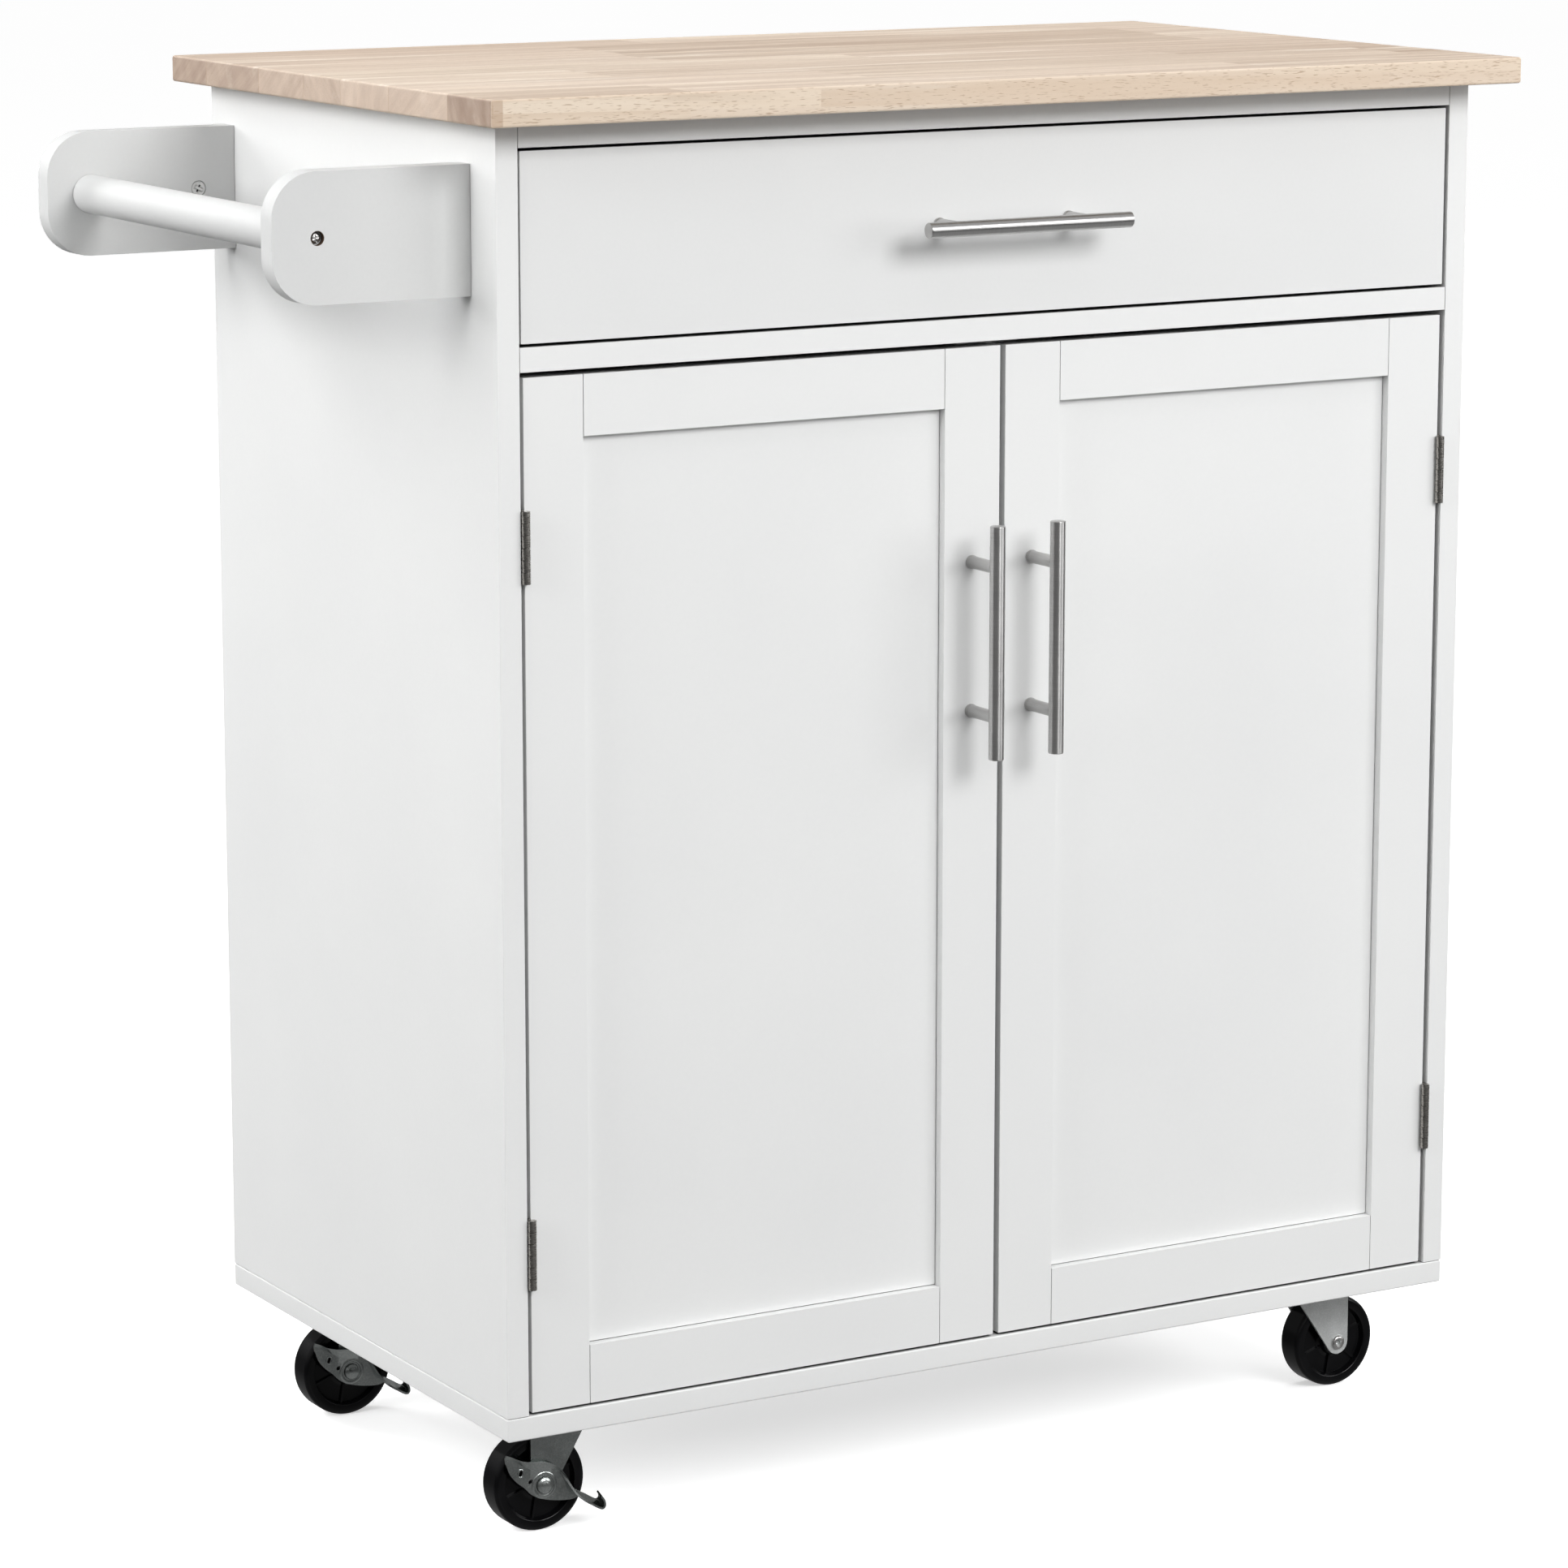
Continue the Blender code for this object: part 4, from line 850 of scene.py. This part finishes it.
def wheel_mesh(name, radius, width, hub_width):
    """A moulded wheel about Z: rounded tread, raised rim, dished web, hub and radial ribs."""
    rim = width / 2
    hub = hub_width / 2
    web = 5.5 * MM
    corner = 3 * MM
    tread = []
    for i in range(7):
        angle = math.radians(90 - 15 * i)
        tread.append((radius - corner + corner * math.cos(angle), rim - corner + corner * math.sin(angle)))
    half = [
        (4.1 * MM, hub), (8.7 * MM, hub), (9.3 * MM, hub - 0.3 * MM), (9.6 * MM, hub - 0.9 * MM),
        (10.1 * MM, web + 1.2 * MM), (11.2 * MM, web + 0.3 * MM), (12.5 * MM, web),
        (radius - 9.8 * MM, web), (radius - 8.6 * MM, web + 0.3 * MM), (radius - 7.9 * MM, web + 1.3 * MM),
        (radius - 7.3 * MM, rim - 0.9 * MM), (radius - 7.0 * MM, rim - 0.3 * MM), (radius - 6.4 * MM, rim),
    ]
    half += tread
    profile = half + [(r, -h) for r, h in reversed(half)]
    profile.append(profile[0])
    shape = turned(profile, 2 * ROUND)
    bmesh.ops.remove_doubles(shape, verts=shape.verts, dist=0.001 * MM)
    bmesh.ops.recalc_face_normals(shape, faces=shape.faces)
    inner, outer = 9.5 * MM, radius - 7.6 * MM
    for i in range(6):
        turn = Matrix.Rotation(math.pi * i / 3, 4, "Z")
        for side in (-1, 1):
            size = (outer - inner, 1.6 * MM, 1.5 * MM)
            rib = box_shape(size, ((outer + inner) / 2, 0, side * (web + 0.9 * MM)))
            bmesh.ops.transform(rib, matrix=turn, verts=rib.verts)
            shape.from_mesh(to_mesh("rib", rib))
    return to_mesh(name, shape)


def wheels():
    for corner in CORNERS:
        node = f"{corner}_wheel"
        low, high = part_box(node)
        middle = (low + high) / 2
        radius = (high.x - low.x) / 2
        mesh = wheel_mesh(f"{corner}_moulded_wheel", radius, 20 * MM, high.y - low.y)
        mesh.transform(at(middle, FRONT, 0.35))
        obj = piece(f"{corner}_moulded_wheel", mesh, node, BLACK)
        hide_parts(node)


def catmull(points, steps):
    """A smooth open run of points through the given ones."""

    def between(a, b, c, d, t):
        bend = 2 * a - 5 * b + 4 * c - d
        twist = 3 * b - a - 3 * c + d
        return 0.5 * (2 * b + (c - a) * t + bend * t * t + twist * t**3)

    last = len(points) - 1
    curve = []
    for i in range(last):
        near = [points[min(max(k, 0), last)] for k in range(i - 1, i + 3)]
        for step in range(steps):
            curve.append(tuple(between(*values, step / steps) for values in zip(*near)))
    return curve + [tuple(points[-1])]


def swept(sections):
    """A closed solid through sections that all have the same number of points."""
    shape = bmesh.new()
    rows = [[shape.verts.new(point) for point in section] for section in sections]
    for lower, upper in zip(rows, rows[1:]):
        for i in range(len(lower)):
            j = (i + 1) % len(lower)
            shape.faces.new((lower[i], lower[j], upper[j], upper[i]))
    shape.faces.new(rows[0])
    shape.faces.new(rows[-1][::-1])
    bmesh.ops.recalc_face_normals(shape, faces=shape.faces)
    return shape


def lever_plate(name, inner):
    """The pressed leaf: a flat beside the fork, and above its crease a narrow facet that leans outward."""
    # Upper edge, crease and lower edge, each as x and z from the axle, from the tail to the toe
    stations = [
        (-27.6, 24.2, -27.6, 21.5, -27.2, 18.5),
        (-23.4, 22.4, -22.4, 19.2, -24.6, 11),
        (-18.6, 19.8, -16.0, 15.4, -19.7, 4.8),
        (-13.4, 18.2, -10.0, 11.8, -14.2, 0.2),
        (-8.8, 17.2, -4.6, 9.2, -9.4, -4.8),
        (-3.4, 16.6, 0, 8.3, -3.6, -8.2),
        (2.2, 15.2, 4.2, 9.2, 3.2, -10.4),
        (7.0, 12.8, 8.2, 9.6, 10, -11.8),
        (11.2, 9.4, 11.8, 7.2, 17, -12.6),
        (15.0, 4.6, 15.1, 2.8, 21.8, -12.4),
        (20.5, -4.4, 20.5, -5.4, 25.2, -10.8),
        (23.4, -7.2, 23.4, -7.9, 26.0, -9.6),
    ]
    out = 3.0 * MM
    thick = 1.3 * MM
    sections = []
    for xt, zt, xc, zc, xb, zb in catmull(stations, 3):
        lean = out * min(1.0, math.hypot(xt - xc, zt - zc) / 4)
        front = [(xt, inner - lean - thick, zt), (xc, inner - thick, zc), (xb, inner - thick, zb)]
        rear = [(xb, inner, zb), (xc, inner, zc), (xt, inner - lean, zt)]
        sections.append([(x * MM, y, z * MM) for x, y, z in front + rear])
    mesh = to_mesh(name, swept(sections))
    depth = 20 * MM
    holes = ((5.6, 0, 0, 1.0, 0), (1.1, *LEVER_HOOK, 2.4, 70), (1.3, -9.6, 3.6, 1.3, 30))
    for radius, x, z, stretch, turn in holes:
        tool = drum(radius * MM, -depth, depth, 28)
        place = Matrix.Translation((x * MM, inner, z * MM)) @ Matrix.Rotation(math.pi / 2, 4, "X")
        place = place @ Matrix.Rotation(math.radians(turn), 4, "Z") @ Matrix.Diagonal((stretch, 1, 1, 1))
        bmesh.ops.transform(tool, matrix=place, verts=tool.verts)
        solid = bmesh.new()
        solid.from_mesh(mesh)
        mesh = carve(name, solid, tool)
    return mesh


def lever_toe(inner):
    """The strip for the foot: it leaves the crease, widens outward and curls up at its end."""
    # x and z from the axle, and how far the strip's inner and outer edges stand out from the leaf
    stations = [
        (11.8, 7.3, 0.1, 2.0), (15.1, 3.0, 0.1, 3.0), (20.5, -5.2, 0.1, 6.4),
        (25.0, -8.6, 0.1, 9.6), (30.0, -11.6, 0.4, 10.6), (34.0, -14.2, 0.6, 10.6), (37.4, -15.8, 0.8, 10.4),
        (39.4, -14.6, 1.0, 10.0), (39.2, -11.8, 1.6, 9.4), (37.6, -9.8, 2.4, 8.6),
    ]
    line = catmull(stations, 4)
    half = 0.65 * MM
    droop = 0.36
    sections = []
    for i, (x, z, near, far) in enumerate(line):
        x0, z0 = line[max(i - 1, 0)][:2]
        x1, z1 = line[min(i + 1, len(line) - 1)][:2]
        length = math.hypot(x1 - x0, z1 - z0)
        nx, nz = -(z1 - z0) / length * half, (x1 - x0) / length * half
        inside = Vector((x * MM, inner - near * MM, z * MM))
        outside = Vector((x * MM, inner - far * MM, (z - (far - near) * droop) * MM))
        lift = Vector((nx, 0, nz))
        sections.append([inside + lift, outside + lift, outside - lift, inside - lift])
    return swept(sections)


def brake_levers():
    ring = [(6.5, 0), (7.0, 0.45), (7.9, 0.6), (8.7, 0.4), (9.1, 0)]
    hook = [(2.1, 0), (2.1, 0.25), (2.6, 0.4), (3.0, 0.25), (3.0, 0)]
    dome = [(0, -0.5), (5.3, -0.5), (5.3, 0.5), (4.9, 1.3), (4.0, 2.0), (2.6, 2.5), (1.2, 2.75), (0, 2.8)]
    for corner in ("front_left", "rear_left"):
        node = f"{corner}_brake_lever"
        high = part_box(node)[1]
        wheel_low, wheel_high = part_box(f"{corner}_wheel")
        axle = (wheel_low + wheel_high) / 2
        inner = high.y - axle.y - 0.05 * MM
        face = inner - 1.25 * MM
        shape = bmesh.new()
        shape.from_mesh(lever_plate(f"{corner}_plate", inner))
        shape.from_mesh(to_mesh("toe", lever_toe(inner)))
        for profile, x, z, squash in ((ring, 0, 0, 1.0), (hook, *LEVER_HOOK, 0.8)):
            torus = turned_ring(profile, RIM)
            place = at((x * MM, face, z * MM), FRONT) @ Matrix.Diagonal((squash, 1, 1, 1))
            bmesh.ops.transform(torus, matrix=place, verts=torus.verts)
            shape.from_mesh(to_mesh("ring", torus))
        bmesh.ops.translate(shape, vec=axle, verts=shape.verts)
        obj = piece(f"{corner}_pressed_lever", shape, f"{corner}_brake", ZINC, 0.32 * MM, 3)
        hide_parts(node)
        head = turned([(r * MM, h * MM) for r, h in dome], 32)
        bmesh.ops.transform(head, matrix=at(axle + Vector((0, face, 0)), FRONT), verts=head.verts)
        piece(f"{corner}_rivet_head", head, f"{corner}_fork", ZINC)


def rolled_rivets():
    """Rolled rims round the hollow axle rivets of the casters without a brake."""
    rim = [(2.25, 0.3), (2.3, 1.5), (2.7, 2.05), (3.4, 2.25), (4.2, 2.0), (4.8, 1.35), (5.05, 0.3)]
    leg_face = 13.5 * MM  # from the middle of the wheel to the outside of a fork leg
    mesh = to_mesh("rolled_rim", turned_ring(rim, RIM))
    for corner in ("front_right", "rear_right"):
        low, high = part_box(f"{corner}_wheel")
        axle = (low + high) / 2
        places = [at(axle + side * leg_face, side) for side in (FRONT, BACK)]
        piece(f"{corner}_rolled_rivet", copies(mesh, places), f"{corner}_fork", SCREW)


wheels()
brake_levers()
rolled_rivets()


# ---------------------------------------------------------------- studio


def backdrop(name, shape, colour_low, colour_high, glow):
    """A stage surface that doesn't light the object or show in its metal."""
    obj = bpy.data.objects.new(name, to_mesh(name, shape))
    g = Graph(name, Specular_IOR_Level=0.0, Emission_Color=rgb(1.0, 1.0, 1.0), Emission_Strength=glow)
    cloud = g.noise(g.place, 0.7, 3.0)
    g.colour(g.tint(cloud, colour_low, colour_high))
    g.roughness(g.span(cloud, 0.3, 0.7, 0.85, 0.95))
    obj.data.materials.append(g.material)
    bpy.context.scene.collection.objects.link(obj)
    obj.visible_diffuse = False
    obj.visible_glossy = False
    return obj


def floor_and_backdrop():
    size = 40.0
    disc = bmesh.new()
    bmesh.ops.create_circle(disc, cap_ends=True, segments=96, radius=size)
    backdrop("studio_floor", disc, rgb(0.84, 0.84, 0.84), rgb(0.86, 0.86, 0.86), 0.51)
    wall = turned([(size, -0.5), (size, size), (0, size)], 96)
    shell = backdrop("studio_wall", wall, rgb(0.0, 0.0, 0.0), rgb(0.01, 0.01, 0.01), 1.0)
    shell.visible_shadow = False


def sky():
    """A bright ceiling, a dim band at eye level and the light that a pale floor gives back."""
    world = bpy.data.worlds.new("studio")
    world.use_nodes = True
    nodes, links = world.node_tree.nodes, world.node_tree.links
    direction = nodes.new("ShaderNodeTexCoord").outputs["Generated"]
    parts = nodes.new("ShaderNodeSeparateXYZ")
    height = nodes.new("ShaderNodeMapRange")
    height.inputs["From Min"].default_value = -1.0
    links.new(direction, parts.inputs[0])
    links.new(parts.outputs["Z"], height.inputs["Value"])
    # The sky is a little dimmer on the left and behind than on the right in front
    side = nodes.new("ShaderNodeVectorMath")
    side.operation = "DOT_PRODUCT"
    side.inputs[1].default_value = (-0.7, 0.7, 0.0)
    links.new(direction, side.inputs[0])
    share = nodes.new("ShaderNodeMapRange")
    share.inputs["From Min"].default_value = -0.55
    share.inputs["From Max"].default_value = -0.15
    links.new(side.outputs["Value"], share.inputs["Value"])
    blend = nodes.new("ShaderNodeMix")
    blend.data_type = "RGBA"
    links.new(share.outputs[0], blend.inputs[0])
    right_front = ((0.0, 0.36), (0.28, 0.34), (0.38, 0.13), (0.54, 0.12), (0.66, 0.55), (1.0, 0.66))
    elsewhere = ((0.0, 0.30), (0.28, 0.2), (0.38, 0.09), (0.5, 0.09), (0.66, 0.42), (1.0, 0.66))
    for socket, stops in ((6, right_front), (7, elsewhere)):
        ramp = nodes.new("ShaderNodeValToRGB")
        links.new(height.outputs[0], ramp.inputs[0])
        elements = ramp.color_ramp.elements
        while len(elements) < len(stops):
            elements.new(0.5)
        for element, (position, level) in zip(elements, stops):
            element.position = position
            element.color = rgb(level, level, level)
        links.new(ramp.outputs[0], blend.inputs[socket])
    links.new(blend.outputs[2], nodes["Background"].inputs["Color"])
    nodes["Background"].inputs["Strength"].default_value = 1.0
    bpy.context.scene.world = world


def area_light(name, location, target, size, energy, shows_in_gloss=True):
    light = bpy.data.lights.new(name, "AREA")
    light.shape = "RECTANGLE"
    light.size, light.size_y = size
    light.energy = energy
    obj = bpy.data.objects.new(name, light)
    obj.location = location
    obj.rotation_euler = (Vector(target) - Vector(location)).to_track_quat("-Z", "Y").to_euler()
    obj.visible_camera = False
    obj.visible_glossy = shows_in_gloss
    bpy.context.scene.collection.objects.link(obj)


def studio():
    floor_and_backdrop()
    sky()
    middle = (0, 0, 0.5)
    area_light("key", (0.75, -3.9, 2.65), middle, (2.0, 1.6), 118)
    area_light("corner_fill", (2.8, -2.6, 1.3), middle, (1.6, 1.6), 34)
    area_light("left_fill", (-3.2, -0.2, 1.9), middle, (1.8, 1.8), 76, False)
    area_light("right_fill", (3.0, 0.6, 1.8), middle, (1.4, 1.4), 40, False)
    area_light("rear_fill", (-1.5, 3.0, 1.9), middle, (1.4, 1.4), 80, False)
    settings = bpy.context.scene.view_settings
    settings.view_transform = "Standard"
    settings.look = "None"


def camera():
    data = bpy.data.cameras.new("camera")
    data.sensor_width = 36.0
    data.lens = 128.32
    data.clip_end = 200.0
    obj = bpy.data.objects.new("camera", data)
    yaw, pitch = math.radians(30.07), math.radians(-11.181)
    aim = Vector((math.sin(yaw) * math.cos(pitch), math.cos(yaw) * math.cos(pitch), math.sin(pitch)))
    obj.location = (-1.8283, -3.1739, 1.1607)
    obj.rotation_euler = aim.to_track_quat("-Z", "Y").to_euler()
    bpy.context.scene.collection.objects.link(obj)
    bpy.context.scene.camera = obj


studio()
camera()

bpy.context.view_layer.update()
